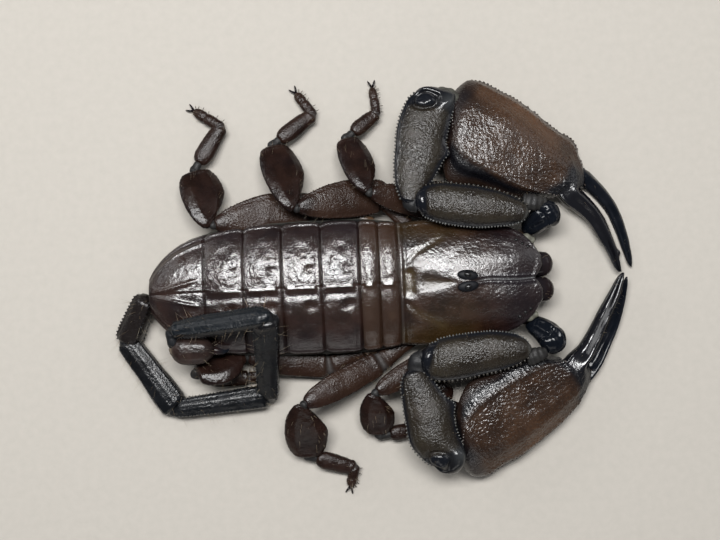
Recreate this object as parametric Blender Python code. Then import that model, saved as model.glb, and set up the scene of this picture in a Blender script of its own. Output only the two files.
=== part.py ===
"""A flat rock scorpion lying at rest with its tail curled to one side, life size.

Sizes are in millimetres. While it is built, the scorpion's own frame is used: the origin is under the
middle of the carapace's rear edge, on the floor, +X runs forward to the claws, +Y to its left and +Z up.
At the end everything is moved together, so that the origin is the middle of the whole footprint.
"""

import math

import bmesh
import bpy
from mathutils import Matrix, Vector

MM = 0.001
GAP = 0.3  # clearance between neighbouring plates
FLOOR = 0.0

# Prosoma and mesosoma
CARAPACE_LENGTH = 19.7
CARAPACE_HALF_WIDTH = ((0, 8.5), (0.25, 8.75), (0.6, 8.1), (0.8, 7.1), (0.92, 5.3), (1, 2.9))
CARAPACE_CROWN = ((0, 7.3), (0.45, 7.8), (0.8, 7.2), (1, 6.3))
CARAPACE_RIM = ((0, 4.9), (0.6, 4.9), (0.85, 5.3), (1, 5.9))
CARAPACE_UNDER = ((0, 4.4), (0.6, 4.3), (0.85, 4.9), (1, 5.2))
FRONT_NOTCH = 1.1
EYE_AT = (9.1, 0.75)
EYE_RADII = (0.55, 0.4, 0.5)
EYE_MOUND = 0.45
TERGITE_EDGES = (0.0, -2.9, -5.7, -11.0, -16.4, -21.7, -27.3, -35.2)
TRUNK_HALF_WIDTH = (
    (-35.4, 1.9), (-34.4, 3.6), (-32.6, 5.5), (-30.2, 7.0), (-26.6, 8.2), (-21.5, 8.9),
    (-16, 9.15), (-11, 9.2), (-5.5, 9.15), (0, 8.6),
)
TRUNK_CROWN = ((-35.4, 4.8), (-27.3, 6.5), (-20, 7.3), (-8, 7.5), (0, 7.3))
TRUNK_RIM = ((-35.4, 3.7), (-27.3, 4.5), (-20, 4.9), (0, 4.9))
TERGITE_THICK = 0.6
ARCH = 2.4  # how flat the back is: 2 is a parabola, more is flatter
BELLY_NARROWER = 1.0
BELLY_FLAT = (-31.0, -7.0)
COMB_ROOM = 1.2
COMB_PATH = ((-1.3, 0.75, 0.6), (-2.5, 3.2, 0.6), (-4.2, 5.5, 0.6))
COMB_SIZE = (1.5, 0.6)
BELLY_FLAT_SHARE = ((-35.4, 0.3), (-28, 0.72), (-12, 0.76), (-5, 0.66), (0, 0.56))

# Metasoma: the joints of the curled tail, then each length's height and width
TAIL_JOINTS = (
    (-35.5, 0.4, 3.2), (-39.2, -6.5, 1.5), (-32.8, -16.6, 1.38), (-19.7, -15.4, 1.75),
    (-19.1, -3.4, 11.3), (-32.2, -5.0, 7.4),
)
TAIL_HEIGHTS = (3.5, 4.0, 3.6, 3.5, 2.7)
TAIL_WIDTHS = (3.2, 2.9, 2.8, 2.7, 2.4)
TAIL_ROLLS = (18, 0, 0, 0, 25)
TAIL_GAPS = ((1.35, 0.2), (0.2, 0.2), (0.2, 0.2), (0.2, 0.25), (0.25, 0.3))  # at the joint before, and after
TAIL_ROOT = (-34.4, 0.9, 3.8)
VESICLE_PROFILE = ((0, 0.55), (0.15, 0.86), (0.45, 1), (0.75, 0.86), (0.93, 0.55), (1, 0.38))
TAIL_PROFILE = ((0, 0.72), (0.12, 0.86), (0.5, 0.95), (0.88, 1.06), (1, 0.9))
VESICLE_PATH = ((-33.5, -7.0, 6.7), (-27.4, -8.8, 6.4))
VESICLE_SIZE = (3.0, 2.4)
STING_PATH = ((-26.9, -8.95, 6.3), (-25.8, -9.05, 6.15), (-24.9, -8.8, 6.1))
STING_SIZES = (1.15, 0.8, 0.5)

# Pedipalps, given for the left one: the right one has its own places
ARM_SIDES = {
    "left": dict(
        side=1, trochanter=((18.5, 6.1, 3.1), (19.7, 7.2, 3.8), (21.0, 8.5, 4.8), (21.7, 9.7, 5.7)),
        femur=((19.4, 10.0, 6.8), (4.2, 10.6, 7.0)), patella=((1.9, 11.9, 6.8), (5.7, 26.1, 4.3)),
        chela=(8.7, 24.6, 3.9), yaw=-35.3, pitch=-5.5, roll=12, finger_shut=0, finger_drop=0,
    ),
    "right": dict(
        side=-1, trochanter=((18.3, -6.1, 3.1), (19.0, -7.2, 3.8), (19.8, -8.6, 4.8), (20.2, -10.0, 5.8)),
        femur=((18.0, -10.2, 6.8), (3.8, -11.4, 7.0)), patella=((1.4, -12.9, 6.9), (4.6, -24.9, 4.7)),
        chela=(7.6, -24.2, 4.6), yaw=31.3, pitch=-6, roll=36, finger_shut=4, finger_drop=0.9,
    ),
}
ARM_FEMUR = (5.9, 3.7)
ARM_PATELLA = (6.3, 3.7)
PATELLA_SPUR = 1.5
ARM_FEMUR_PROFILE = ((0, 0.55), (0.12, 0.86), (0.45, 1.0), (0.8, 0.96), (0.94, 0.8), (1, 0.55))
ARM_PATELLA_PROFILE = ((0, 0.45), (0.12, 0.8), (0.42, 1.0), (0.75, 0.98), (0.9, 0.86), (1, 0.5))
# Chela: distance from its base joint, offset to the outer side, rise, half width, half thickness
HAND = (
    (0.0, 1.9, 0.0, 2.2, 1.4), (1.4, 0.9, 0.0, 4.2, 2.0), (4.2, 0.4, 0.0, 5.4, 2.4),
    (8.0, 0.1, 0.0, 5.85, 2.5), (12.0, -0.1, 0.0, 5.6, 2.45), (15.6, 0.0, -0.1, 4.75, 2.2),
    (18.6, 0.2, -0.2, 3.6, 1.9), (19.8, 0.0, -0.25, 3.0, 1.75), (20.9, -1.1, -0.3, 1.75, 1.5),
    (23.0, -2.3, -0.5, 1.35, 1.25), (26.0, -3.6, -0.9, 1.1, 1.05), (29.0, -5.3, -1.4, 0.9, 0.85),
    (31.0, -6.7, -1.8, 0.6, 0.6), (31.9, -7.4, -2.0, 0.3, 0.3),
)
FINGER = (
    (21.5, 2.35, -0.4, 1.0, 1.0), (22.4, 2.1, -0.45, 1.3, 1.25), (24.6, 1.2, -0.7, 1.2, 1.15),
    (27.4, -0.6, -1.1, 1.05, 1.0), (30.0, -2.9, -1.5, 0.85, 0.85), (31.9, -4.9, -1.85, 0.6, 0.6),
    (32.8, -6.0, -2.05, 0.3, 0.3),
)

# Legs: the coxa's end, the trochanter's end, knee, ankle, wrist and toe of each
TOE_HEIGHT = 0.34
LEG_JOINTS = {
    ("left", 1): ((12.2, 6.4, 2.4), (11.0, 9.2, 2.3), (5.0, 13.9, 2.2), (3.4, 19.6, 1.9), (7.0, 22.4, 1.2), (10.0, 23.4, TOE_HEIGHT)),
    ("left", 2): ((7.6, 7.1, 2.6), (4.8, 10.2, 2.9), (-3.7, 12.8, 5.0), (-6.6, 20.8, 3.3), (-2.2, 24.3, 1.2), (-2.6, 28.1, TOE_HEIGHT)),
    ("left", 3): ((1.6, 7.8, 2.5), (-1.7, 11.9, 2.3), (-13.9, 11.1, 4.3), (-17.1, 20.3, 3.2), (-11.3, 24.6, 1.2), (-13.5, 27.8, TOE_HEIGHT)),
    ("left", 4): ((-5.4, 9.3, 1.9), (-11.8, 10.2, 1.6), (-26.1, 9.2, 2.9), (-29.0, 17.3, 2.8), (-24.4, 23.4, 1.2), (-28.2, 26.0, TOE_HEIGHT)),
    ("right", 1): ((12.2, -6.4, 2.4), (10.6, -9.3, 2.4), (4.9, -13.2, 2.4), (5.0, -17.6, 2.0), (9.4, -18.6, 1.2), (12.2, -17.6, TOE_HEIGHT)),
    ("right", 2): ((7.6, -7.1, 2.6), (4.6, -10.2, 2.7), (-4.2, -15.0, 5.1), (-4.1, -21.2, 1.6), (1.4, -20.8, 1.0), (3.8, -21.2, TOE_HEIGHT)),
    ("right", 3): ((1.6, -7.8, 2.5), (-3.3, -10.9, 2.7), (-14.2, -16.0, 6.4), (-14.2, -23.8, 1.7), (-7.7, -26.0, 1.0), (-8.4, -28.6, TOE_HEIGHT)),
    ("right", 4): ((-5.4, -9.3, 1.9), (-10.6, -11.1, 1.5), (-22.0, -9.9, 2.7), (-29.2, -11.4, 4.2), (-22.0, -12.8, 0.95), (-19.0, -12.1, TOE_HEIGHT)),
}
LEG_FEMUR = {1: (2.8, 1.7), 2: (3.1, 1.7), 3: (3.8, 1.8), 4: (3.9, 1.8)}
LEG_PATELLA = {1: (3.4, 1.8), 2: (4.7, 2.0), 3: (5.8, 2.1), 4: (6.1, 2.1)}
LEG_TIBIA = {1: (1.8, 1.4), 2: (2.2, 1.5), 3: (2.5, 1.6), 4: (2.6, 1.6)}
LEG_TARSUS = {1: (1.1, 1.0), 2: (1.3, 1.1), 3: (1.5, 1.2), 4: (1.6, 1.2)}
PATELLA_PROFILE = ((0, 0.3), (0.12, 0.55), (0.35, 0.9), (0.6, 1.0), (0.84, 0.84), (1, 0.5))
SHIN_START = 1.45
LEG_ROLL = {("right", 4): 32}
FOLDED_SHIFT = {("right", 4): (-0.3, -0.9, -1.7), ("right", 2): (0.4, -0.3, 0)}  # a shin folded under its patella
ANKLE_GAP = 0.3
FEMUR_PROFILE = ((0, 0.5), (0.2, 0.62), (0.36, 0.9), (0.7, 1.0), (0.9, 0.75), (1, 0.4))

COLOURS = {
    "shell": ((0.035, 0.022, 0.016), 0.3),
    "brown_shell": ((0.09, 0.04, 0.02), 0.35),
    "black_shell": ((0.012, 0.013, 0.016), 0.3),
    "leg_shell": ((0.03, 0.016, 0.012), 0.4),
    "underside": ((0.12, 0.075, 0.045), 0.5),
    "eye": ((0.004, 0.004, 0.005), 0.08),
}


def material(name):
    """The named surface: its colour and roughness."""
    found = bpy.data.materials.get(name)
    if found:
        return found
    colour, roughness = COLOURS[name]
    made = bpy.data.materials.new(name)
    made.use_nodes = True
    surface = made.node_tree.nodes["Principled BSDF"]
    surface.inputs["Base Color"].default_value = (*colour, 1)
    surface.inputs["Roughness"].default_value = roughness
    surface.inputs["Metallic"].default_value = 0.0
    return made


def along(stops, t):
    """The value at t on a smooth curve through (place, value) stops in rising order."""
    if t <= stops[0][0]:
        return stops[0][1]
    if t >= stops[-1][0]:
        return stops[-1][1]
    i = max(k for k in range(len(stops) - 1) if stops[k][0] <= t)

    def slope(k):
        low, high = max(k - 1, 0), min(k + 1, len(stops) - 1)
        return (stops[high][1] - stops[low][1]) / (stops[high][0] - stops[low][0])

    (t0, v0), (t1, v1) = stops[i], stops[i + 1]
    span = t1 - t0
    u = (t - t0) / span
    return (
        v0 * (1 + 2 * u) * (1 - u) ** 2
        + v1 * u * u * (3 - 2 * u)
        + span * slope(i) * u * (1 - u) ** 2
        - span * slope(i + 1) * u * u * (1 - u)
    )


def steps(count, low=0.0, high=1.0):
    """count places spread evenly from low to high."""
    return [low + (high - low) * i / (count - 1) for i in range(count)]


def add_object(name, rows, surface, closed_rows):
    """One closed body skinned over rows of points, with its first and last row filled."""
    mesh = bmesh.new()
    grid = [[mesh.verts.new(point * MM) for point in row] for row in rows]
    count = len(grid[0])
    for low, high in zip(grid, grid[1:]):
        for i in range(count if closed_rows else count - 1):
            j = (i + 1) % count
            mesh.faces.new((low[i], low[j], high[j], high[i]))
    mesh.faces.new(grid[0])
    mesh.faces.new(grid[-1])
    bmesh.ops.triangulate(mesh, faces=[f for f in mesh.faces if len(f.verts) > 4])
    bmesh.ops.recalc_face_normals(mesh, faces=mesh.faces)
    data = bpy.data.meshes.new(name)
    mesh.to_mesh(data)
    mesh.free()
    data.materials.append(material(surface))
    data.shade_smooth()
    data.set_sharp_from_angle(angle=math.radians(40))
    made = bpy.data.objects.new(name, data)
    bpy.context.scene.collection.objects.link(made)
    return made


def slab(name, top, bottom, lengths, widths, surface):
    """A plate between two surfaces, each a function of its place along and across."""
    rows = []
    for s in lengths:
        upper = [top(s, r) for r in widths]
        lower = [bottom(s, r) for r in reversed(widths)]
        rows.append(upper + lower)
    return add_object(name, rows, surface, closed_rows=True)


def tube(name, path, sizes, surface, sides=10, roll=0.0, moved=lambda point, i: point):
    """A closed tapering tube, flattened so that its width lies level before it is rolled.

    sizes holds the half width and half thickness at each point, and moved(point, ring) shifts a point.
    The tube stops flat where it meets the floor.
    """
    rows = []
    for i, centre in enumerate(path):
        ahead = path[min(i + 1, len(path) - 1)] - path[max(i - 1, 0)]
        across = Vector((0, 0, 1)).cross(ahead).normalized()
        rise = ahead.normalized().cross(across)
        turn = Matrix.Rotation(math.radians(roll), 3, ahead)
        across, rise = turn @ across, turn @ rise
        half_width, half_thick = sizes[i]
        row = []
        for k in range(sides):
            angle = 2 * math.pi * (k + 0.5) / sides
            point = centre + across * half_width * math.cos(angle) + rise * half_thick * math.sin(angle)
            point = moved(point, i)
            point.z = max(point.z, FLOOR)
            row.append(point)
        rows.append(row)
    return add_object(name, rows, surface, closed_rows=True)


def limb(name, joints, size, profile, surface, sides=10, roll=0.0, gaps=(GAP / 2, GAP / 2)):
    """A straight length between two joints, its ends cut square to the halved bend at each joint.

    joints holds the joint before (or None), the two of this length, and the one after (or None).
    """
    before, start, end, after = (p and Vector(p) for p in joints)
    axis = (end - start).normalized()
    cuts = (
        (start, axis if before is None else ((start - before).normalized() + axis).normalized(), gaps[0]),
        (end, -axis if after is None else -((after - end).normalized() + axis).normalized(), gaps[1]),
    )

    def mitre(point, t):
        slide = 0.0
        for near, (place, facing, gap) in zip((1 - 2 * t, 2 * t - 1), cuts):
            if near > 0:
                centre = start.lerp(end, t) - place
                slide += near * facing.dot(place + centre + facing * gap - point) / facing.dot(axis)
        return point + axis * slide

    path = [start.lerp(end, t) for t, _ in profile]
    sizes = [(size[0] / 2 * share, size[1] / 2 * (0.45 + 0.55 * share)) for _, share in profile]
    places = [t for t, _ in profile]
    return tube(name, path, sizes, surface, sides, roll, lambda point, i: mitre(point, places[i]))


def carapace():
    """The head shield: an arched plate with two front lobes, a notch between them and the eyes' mound."""

    def place(s, r):
        notch = FRONT_NOTCH * max(0.0, 1 - abs(r) * 1.6) ** 1.5 * s**6
        return s * CARAPACE_LENGTH - notch, r * along(CARAPACE_HALF_WIDTH, s)

    def top(s, r):
        x, y = place(s, r)
        rim, crown = along(CARAPACE_RIM, s), along(CARAPACE_CROWN, s)
        mound = EYE_MOUND * math.exp(-(((x - EYE_AT[0]) / 1.5) ** 2) - (y / 1.1) ** 2)
        return Vector((x, y, rim + (crown - rim) * (1 - abs(r) ** ARCH) + mound))

    def bottom(s, r):
        x, y = place(s, r)
        return Vector((x, y, along(CARAPACE_UNDER, s)))

    lengths = [0, 0.12, 0.25, 0.38, 0.46, 0.56, 0.7, 0.82, 0.91, 0.97, 1]
    widths = [-1, -0.9, -0.72, -0.48, -0.22, -0.08, 0.08, 0.22, 0.48, 0.72, 0.9, 1]
    slab("carapace", top, bottom, lengths, widths, "shell")
    for side, word in ((1, "left"), (-1, "right")):
        s = EYE_AT[0] / CARAPACE_LENGTH
        under = top(s, EYE_AT[1] / along(CARAPACE_HALF_WIDTH, s)).z
        eye(f"eye_{word}", Vector((EYE_AT[0], side * EYE_AT[1], under + 0.22)))


def eye(name, foot):
    """A low dome standing on the mound."""
    rows = []
    for t in (0.0, 0.35, 0.65, 0.9):
        share = math.sqrt(1 - t * t)
        rows.append([
            foot + Vector((EYE_RADII[0] * share * math.cos(a), EYE_RADII[1] * share * math.sin(a), EYE_RADII[2] * t))
            for a in (2 * math.pi * k / 10 for k in range(10))
        ])
    add_object(name, rows, "eye", closed_rows=True)


def back_height(x, r):
    """The height of the trunk's back at x, r of the way from the midline to its edge."""
    rim, crown = along(TRUNK_RIM, x), along(TRUNK_CROWN, x)
    return rim + (crown - rim) * (1 - abs(r) ** ARCH)


def trunk():
    """Seven back plates over one belly that stands flat on the floor."""
    across = [-1, -0.86, -0.6, -0.3, 0, 0.3, 0.6, 0.86, 1]
    for i, (front, rear) in enumerate(zip(TERGITE_EDGES, TERGITE_EDGES[1:]), 1):
        front -= GAP

        def top(x, r):
            return Vector((x, r * along(TRUNK_HALF_WIDTH, x), back_height(x, r)))

        def bottom(x, r):
            edge = along(TRUNK_HALF_WIDTH, x) - 0.25
            return Vector((x, r * edge, back_height(x, r) - TERGITE_THICK))

        count = 5 if i == 7 else 3 if i > 2 else 2
        slab(f"tergite_{i}", top, bottom, steps(count, rear, front), across, "shell")

    def belly_top(x, r):
        edge = along(TRUNK_HALF_WIDTH, x) - BELLY_NARROWER
        return Vector((x, r * edge, back_height(x, r) - TERGITE_THICK - GAP))

    def belly_bottom(x, r):
        edge = along(TRUNK_HALF_WIDTH, x) * along(BELLY_FLAT_SHARE, x)
        lift = max(0.0, BELLY_FLAT[0] - x) * 0.35 + min(COMB_ROOM, max(0.0, x - BELLY_FLAT[1]))
        return Vector((x, r * edge, FLOOR + lift))

    slab("belly", belly_top, belly_bottom, [-34.8, -33, -31, -27, -21.5, -16, -11, -7, -5.8, -3.3, -0.6],
         [-1, -0.7, -0.35, 0, 0.35, 0.7, 1], "underside")


def head_underside():
    """The legs' and claws' joined hip pieces and breastplate, the mouthparts, and the two combs."""
    half_width = ((-0.2, 4.2), (2, 6.6), (7.6, 6.2), (12, 5.3), (18.4, 4.4))
    roof = ((-0.2, 3.9), (14.4, 3.9), (15.4, 2.3), (18.4, 2.1))

    def top(x, r):
        return Vector((x, r * along(half_width, x), along(roof, x) - 0.5 * abs(r) ** 3))

    def bottom(x, r):
        return Vector((x, r * along(half_width, x) * 0.86, 0.75 + 0.5 * abs(r) ** 3))

    slab("hips", top, bottom, [-0.2, 2, 5, 8.5, 12, 14.4, 15.4, 18.4], [-1, -0.6, -0.2, 0.2, 0.6, 1], "underside")
    for side, word in ((1, "left"), (-1, "right")):
        fang = [Vector((x, side * y, z)) for x, y, z in
                ((15.9, 1.6, 3.6), (17.2, 1.65, 3.55), (19.4, 1.75, 3.5), (20.7, 1.8, 3.3), (21.2, 1.75, 3.1))]
        comb = [Vector((x, side * y, z)) for x, y, z in COMB_PATH]
        tube(f"comb_{word}", comb, [(COMB_SIZE[0] / 2 * t, COMB_SIZE[1] / 2) for t in (0.8, 1, 0.7)], "underside", 8)
        tube(f"chelicera_{word}", fang, [(1.1, 0.9), (1.35, 1.05), (1.45, 1.2), (1.1, 1.0), (0.6, 0.6)], "shell")


def tail():
    """Five lengths that curl to the right and up over the trunk's edge, the venom bulb and the sting."""
    joints = [TAIL_ROOT, *TAIL_JOINTS, None]
    for i in range(5):
        size = (TAIL_HEIGHTS[i], TAIL_WIDTHS[i])
        limb(f"tail_{i + 1}", joints[i:i + 4], size, TAIL_PROFILE, "black_shell", roll=TAIL_ROLLS[i],
             gaps=TAIL_GAPS[i])
    limb("vesicle", (None, *VESICLE_PATH, None), VESICLE_SIZE, VESICLE_PROFILE, "brown_shell", gaps=(0, 0))
    tube("sting", [Vector(p) for p in STING_PATH], [(s / 2, s / 2) for s in STING_SIZES], "black_shell", sides=8)


def chela_place(arm):
    """Where a point of the claw's own frame goes: forward, to the outer side, and up."""
    side = arm["side"]
    turn = (
        Matrix.Rotation(math.radians(arm["yaw"]), 4, "Z")
        @ Matrix.Rotation(math.radians(-arm["pitch"]), 4, "Y")
        @ Matrix.Rotation(math.radians(-side * arm["roll"]), 4, "X")
    )
    place = Matrix.Translation(Vector(arm["chela"])) @ turn

    def put(forward, outward, rise):
        return place @ Vector((forward, side * outward, rise))

    return put


def shut_finger(arm):
    """The moving finger's stations, turned towards the fixed finger and dropped below it."""
    swing = math.radians(arm["finger_shut"])
    hinge, reach = FINGER[0], FINGER[-1][0] - FINGER[0][0]
    stations = []
    for forward, outward, rise, half_width, half_thick in FINGER:
        ahead, out = forward - hinge[0], outward - hinge[1]
        stations.append((
            hinge[0] + ahead * math.cos(swing) + out * math.sin(swing),
            hinge[1] - ahead * math.sin(swing) + out * math.cos(swing),
            rise - arm["finger_drop"] * min(1.0, 2 * ahead / reach),
            half_width,
            half_thick,
        ))
    return stations


def chela_part(name, stations, put, surface, sides):
    """A loft through the claw's stations, each ring square to the line that they follow."""
    rows = []
    for i, (forward, outward, rise, half_width, half_thick) in enumerate(stations):
        low, high = stations[max(i - 1, 0)], stations[min(i + 1, len(stations) - 1)]
        lean = math.atan2(high[1] - low[1], high[0] - low[0]) if forward > 20 else 0.0
        row = []
        for k in range(sides):
            angle = 2 * math.pi * (k + 0.5) / sides
            out, up = half_width * math.cos(angle), half_thick * math.sin(angle)
            point = put(forward - out * math.sin(lean), outward + out * math.cos(lean), rise + up)
            point.z = max(point.z, FLOOR)
            row.append(point)
        rows.append(row)
    add_object(name, rows, surface, closed_rows=True)


def arm_patella(name, arm):
    """The claw arm's forearm, with the spur on its inner side."""
    start, end = (Vector(p) for p in arm["patella"])
    axis = (end - start).normalized()
    inward = -arm["side"] * Vector((0, 0, 1)).cross(axis).normalized()
    rows = []
    for t in (0, 0.08, 0.2, 0.34, 0.42, 0.5, 0.62, 0.8, 0.92, 1):
        share = along(ARM_PATELLA_PROFILE, t)
        spur = PATELLA_SPUR * math.exp(-(((t - 0.42) / 0.07) ** 2))
        centre = start.lerp(end, t)
        half_width, half_thick = ARM_PATELLA[0] / 2 * share, ARM_PATELLA[1] / 2 * (0.45 + 0.55 * share)
        row = []
        for k in range(12):
            angle = 2 * math.pi * (k + 0.5) / 12
            reach = half_width * math.cos(angle)
            reach += spur * max(0.0, math.cos(angle)) ** 6
            row.append(centre + inward * reach + Vector((0, 0, half_thick * math.sin(angle))))
        rows.append(row)
    add_object(name, rows, "shell", closed_rows=True)


def arms():
    """Both claw arms: hip joint, upper arm, forearm with its spur, hand with the fixed finger, moving finger."""
    for word, arm in ARM_SIDES.items():
        hip = [Vector(p) for p in arm["trochanter"]]
        tube(f"arm_{word}_hip", hip, [(1.2, 0.8), (1.8, 1.4), (2.0, 1.7), (1.5, 1.3)], "black_shell")
        limb(f"arm_{word}_femur", (None, *arm["femur"], None), ARM_FEMUR, ARM_FEMUR_PROFILE, "shell", sides=12)
        arm_patella(f"arm_{word}_patella", arm)
        put = chela_place(arm)
        chela_part(f"arm_{word}_hand", HAND, put, "brown_shell", sides=14)
        chela_part(f"arm_{word}_finger", shut_finger(arm), put, "black_shell", sides=10)


def leg(word, number):
    """One walking leg in three pieces: hip joint and femur, broad patella, then tibia and tarsus."""
    hip, trochanter, knee, ankle, wrist, toe = (Vector(p) for p in LEG_JOINTS[word, number])
    name = f"leg_{word}_{number}"

    width, thick = LEG_FEMUR[number]
    path, sizes = [], []
    for t, share in FEMUR_PROFILE:
        bend = 0.3
        if t < bend:
            centre = hip.lerp(trochanter, t / bend)
        else:
            centre = trochanter.lerp(knee, (t - bend) / (1 - bend))
        path.append(centre)
        sizes.append((width / 2 * share, thick / 2 * (0.4 + 0.6 * share)))
    thigh = (knee - trochanter).normalized()
    facing = (thigh + (ankle - knee).normalized()).normalized()

    def at_knee(point, i):
        if i < len(path) - 1:
            return point
        return point + thigh * facing.dot(knee - facing * GAP / 2 - point) / facing.dot(thigh)

    tube(f"{name}_femur", path, sizes, "leg_shell", moved=at_knee)

    limb(f"{name}_patella", (trochanter, knee, ankle, None), LEG_PATELLA[number], PATELLA_PROFILE, "leg_shell",
         roll=LEG_ROLL.get((word, number), 0), gaps=(GAP / 2, ANKLE_GAP))

    ankle += Vector(FOLDED_SHIFT.get((word, number), (0, 0, 0)))
    shin = (wrist - ankle).normalized()
    width, thick = LEG_TIBIA[number]
    foot_width, foot_thick = LEG_TARSUS[number]
    first = ankle + shin * SHIN_START
    path = [first, first.lerp(wrist, 0.25), first.lerp(wrist, 0.7), wrist - shin * 0.3,
            wrist.lerp(toe, 0.18), wrist.lerp(toe, 0.55), wrist.lerp(toe, 0.85), toe]
    sizes = [(width * 0.3, thick * 0.35), (width / 2, thick / 2), (width * 0.44, thick * 0.46),
             (width * 0.34, thick * 0.4), (foot_width / 2, foot_thick / 2), (foot_width * 0.46, foot_thick * 0.5),
             (foot_width * 0.38, 0.5), (0.3, 0.36)]
    tube(f"{name}_foot", path, sizes, "leg_shell", sides=8)


def centre_on_floor():
    """Moves every mesh together, so that the origin is the middle of the footprint, on the floor."""
    bodies = [o for o in bpy.context.scene.objects if o.type == "MESH"]
    points = [v.co for o in bodies for v in o.data.vertices]
    low = Vector([min(p[i] for p in points) for i in range(3)])
    high = Vector([max(p[i] for p in points) for i in range(3)])
    shift = Vector((-(low.x + high.x) / 2, -(low.y + high.y) / 2, -low.z))
    for body in bodies:
        body.data.transform(Matrix.Translation(shift))
    print("moved by", [round(v / MM, 3) for v in shift])


def main():
    for old in list(bpy.data.objects):
        bpy.data.objects.remove(old)
    carapace()
    trunk()
    head_underside()
    tail()
    arms()
    for word in ("left", "right"):
        for number in (1, 2, 3, 4):
            leg(word, number)
    centre_on_floor()


main()
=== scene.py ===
import math

import bpy
import numpy as np
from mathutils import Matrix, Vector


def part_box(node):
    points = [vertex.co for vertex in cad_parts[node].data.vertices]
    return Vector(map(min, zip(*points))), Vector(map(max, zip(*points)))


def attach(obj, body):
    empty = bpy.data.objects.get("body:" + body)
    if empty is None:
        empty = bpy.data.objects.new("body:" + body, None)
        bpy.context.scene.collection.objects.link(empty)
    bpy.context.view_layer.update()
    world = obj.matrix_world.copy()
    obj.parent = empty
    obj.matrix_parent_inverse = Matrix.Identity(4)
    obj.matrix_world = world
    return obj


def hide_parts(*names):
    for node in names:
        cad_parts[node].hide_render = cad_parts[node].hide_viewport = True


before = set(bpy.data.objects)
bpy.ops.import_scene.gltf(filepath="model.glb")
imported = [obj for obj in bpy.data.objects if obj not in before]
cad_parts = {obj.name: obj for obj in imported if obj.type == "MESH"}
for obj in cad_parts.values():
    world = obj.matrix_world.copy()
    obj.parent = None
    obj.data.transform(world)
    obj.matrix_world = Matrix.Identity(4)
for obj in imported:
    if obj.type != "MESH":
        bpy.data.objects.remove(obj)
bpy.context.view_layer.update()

mm = 0.001
shieldLow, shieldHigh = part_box("carapace")
# sizes below are in millimetres from here: the floor under the middle of the head shield's rear edge
ownOrigin = np.array([shieldLow.x, (shieldLow.y + shieldHigh.y) / 2, 0.0])
gridStep = 0.13
floorGap, raisedGap, hairGap = 0.02, 0.03, 0.05  # the least heights of a piece, a raised surface and a hair
up = np.array([0.0, 0.0, 1.0])
bothSides = ((1, "Left"), (-1, "Right"))


# values at t on Hermite pieces through stops (place, value, value...), each slope taken across its neighbours
def throughStops(stops, t):
    stops = np.asarray(stops, float)
    place, value = stops[:, 0], stops[:, 1:]
    low = np.maximum(np.arange(len(place)) - 1, 0)
    high = np.minimum(np.arange(len(place)) + 1, len(place) - 1)
    slope = (value[high] - value[low]) / (place[high] - place[low])[:, None]
    t = np.clip(np.asarray(t, float), place[0], place[-1])
    i = np.clip(np.searchsorted(place, t, side="right") - 1, 0, len(place) - 2)
    span = place[i + 1] - place[i]
    u = ((t - place[i]) / span)[..., None]
    span = span[..., None]
    found = (value[i] * (1 + 2 * u) * (1 - u) ** 2 + value[i + 1] * u * u * (3 - 2 * u)
             + span * slope[i] * u * (1 - u) ** 2 - span * slope[i + 1] * u * u * (1 - u))
    return found[..., 0] if found.shape[-1] == 1 else found


# 0 below low and 1 above high, eased between
def ease(value, low, high):
    u = np.clip((value - low) / (high - low), 0, 1)
    return u * u * (3 - 2 * u)


# 0 below the first place, 1 between the second and third, 0 again past the fourth
def band(value, low, full, fade, high):
    return ease(value, low, full) * (1 - ease(value, fade, high))


# a bell of height 1 about the centre
def bell(value, centre, width):
    return np.exp(-(((value - centre) / width) ** 2))


# the gap between two angles in degrees, from -180 to 180
def angleGap(angle, centre):
    return (angle - centre + 180) % 360 - 180


# a rounded ridge or groove along a limb: a bell of this width in degrees about one angle
def ridgeAt(angle, centre, width):
    return bell(angleGap(angle, centre), 0, width)


# a sum of such ridges and grooves, from rows of height, angle and width
def ridges(angle, rows):
    return sum(height * ridgeAt(angle, centre, width) for height, centre, width in rows)


# raised and sunk bands across a limb or along a rim, from rows of height, place and width
def collars(t, rows):
    return sum(height * bell(t, centre, width) for height, centre, width in rows)


# evenly spaced angles once round, in radians
def onceRound(count):
    return np.linspace(0, 2 * np.pi, count, endpoint=False)


# cosine and sine of the angles, each raised to 2 / power: a circle at power 2, nearer a box above it
def roundedBox(angle, power):
    c, s = np.cos(angle), np.sin(angle)
    return np.sign(c) * np.abs(c) ** (2 / power), np.sign(s) * np.abs(s) ** (2 / power)


# places from 0 to 1, closer together towards both ends
def endDense(count, mix):
    t = np.linspace(0, 1, count)
    return mix * (0.5 - 0.5 * np.cos(np.pi * t)) + (1 - mix) * t


# vectors scaled to length 1
def unit(vectors):
    return vectors / np.maximum(np.linalg.norm(vectors, axis=-1, keepdims=True), 1e-12)


# a repeatable number from 0 to 1 for each whole-numbered cell, by multiplying and mixing its bits
def cellRandom(cell, seed):
    c = cell.astype(np.int64)
    h = (c[..., 0] * 73856093) ^ (c[..., 1] * 19349663) ^ (c[..., 2] * 83492791) ^ (seed * 26544357)
    h = (h ^ (h >> 13)) & 0xFFFFFFF
    h = (h * 1274126177) & 0xFFFFFFFF
    h = ((h ^ (h >> 16)) * 668265263) & 0xFFFFFFFF
    return (h ^ (h >> 15)).astype(float) % 1048576 / 1048576


# soft noise from -1 to 1: the eight corner values of each cell of this size, eased between
def noise(points, size, seed):
    p = points / np.asarray(size, float)
    base = np.floor(p)
    f = p - base
    f = f * f * (3 - 2 * f)
    total = np.zeros(points.shape[:-1])
    for corner in np.ndindex(2, 2, 2):
        corner = np.array(corner)
        weight = np.prod(np.where(corner, f, 1 - f), axis=-1)
        total += weight * cellRandom(base + corner, seed)
    return total * 2 - 1


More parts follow.
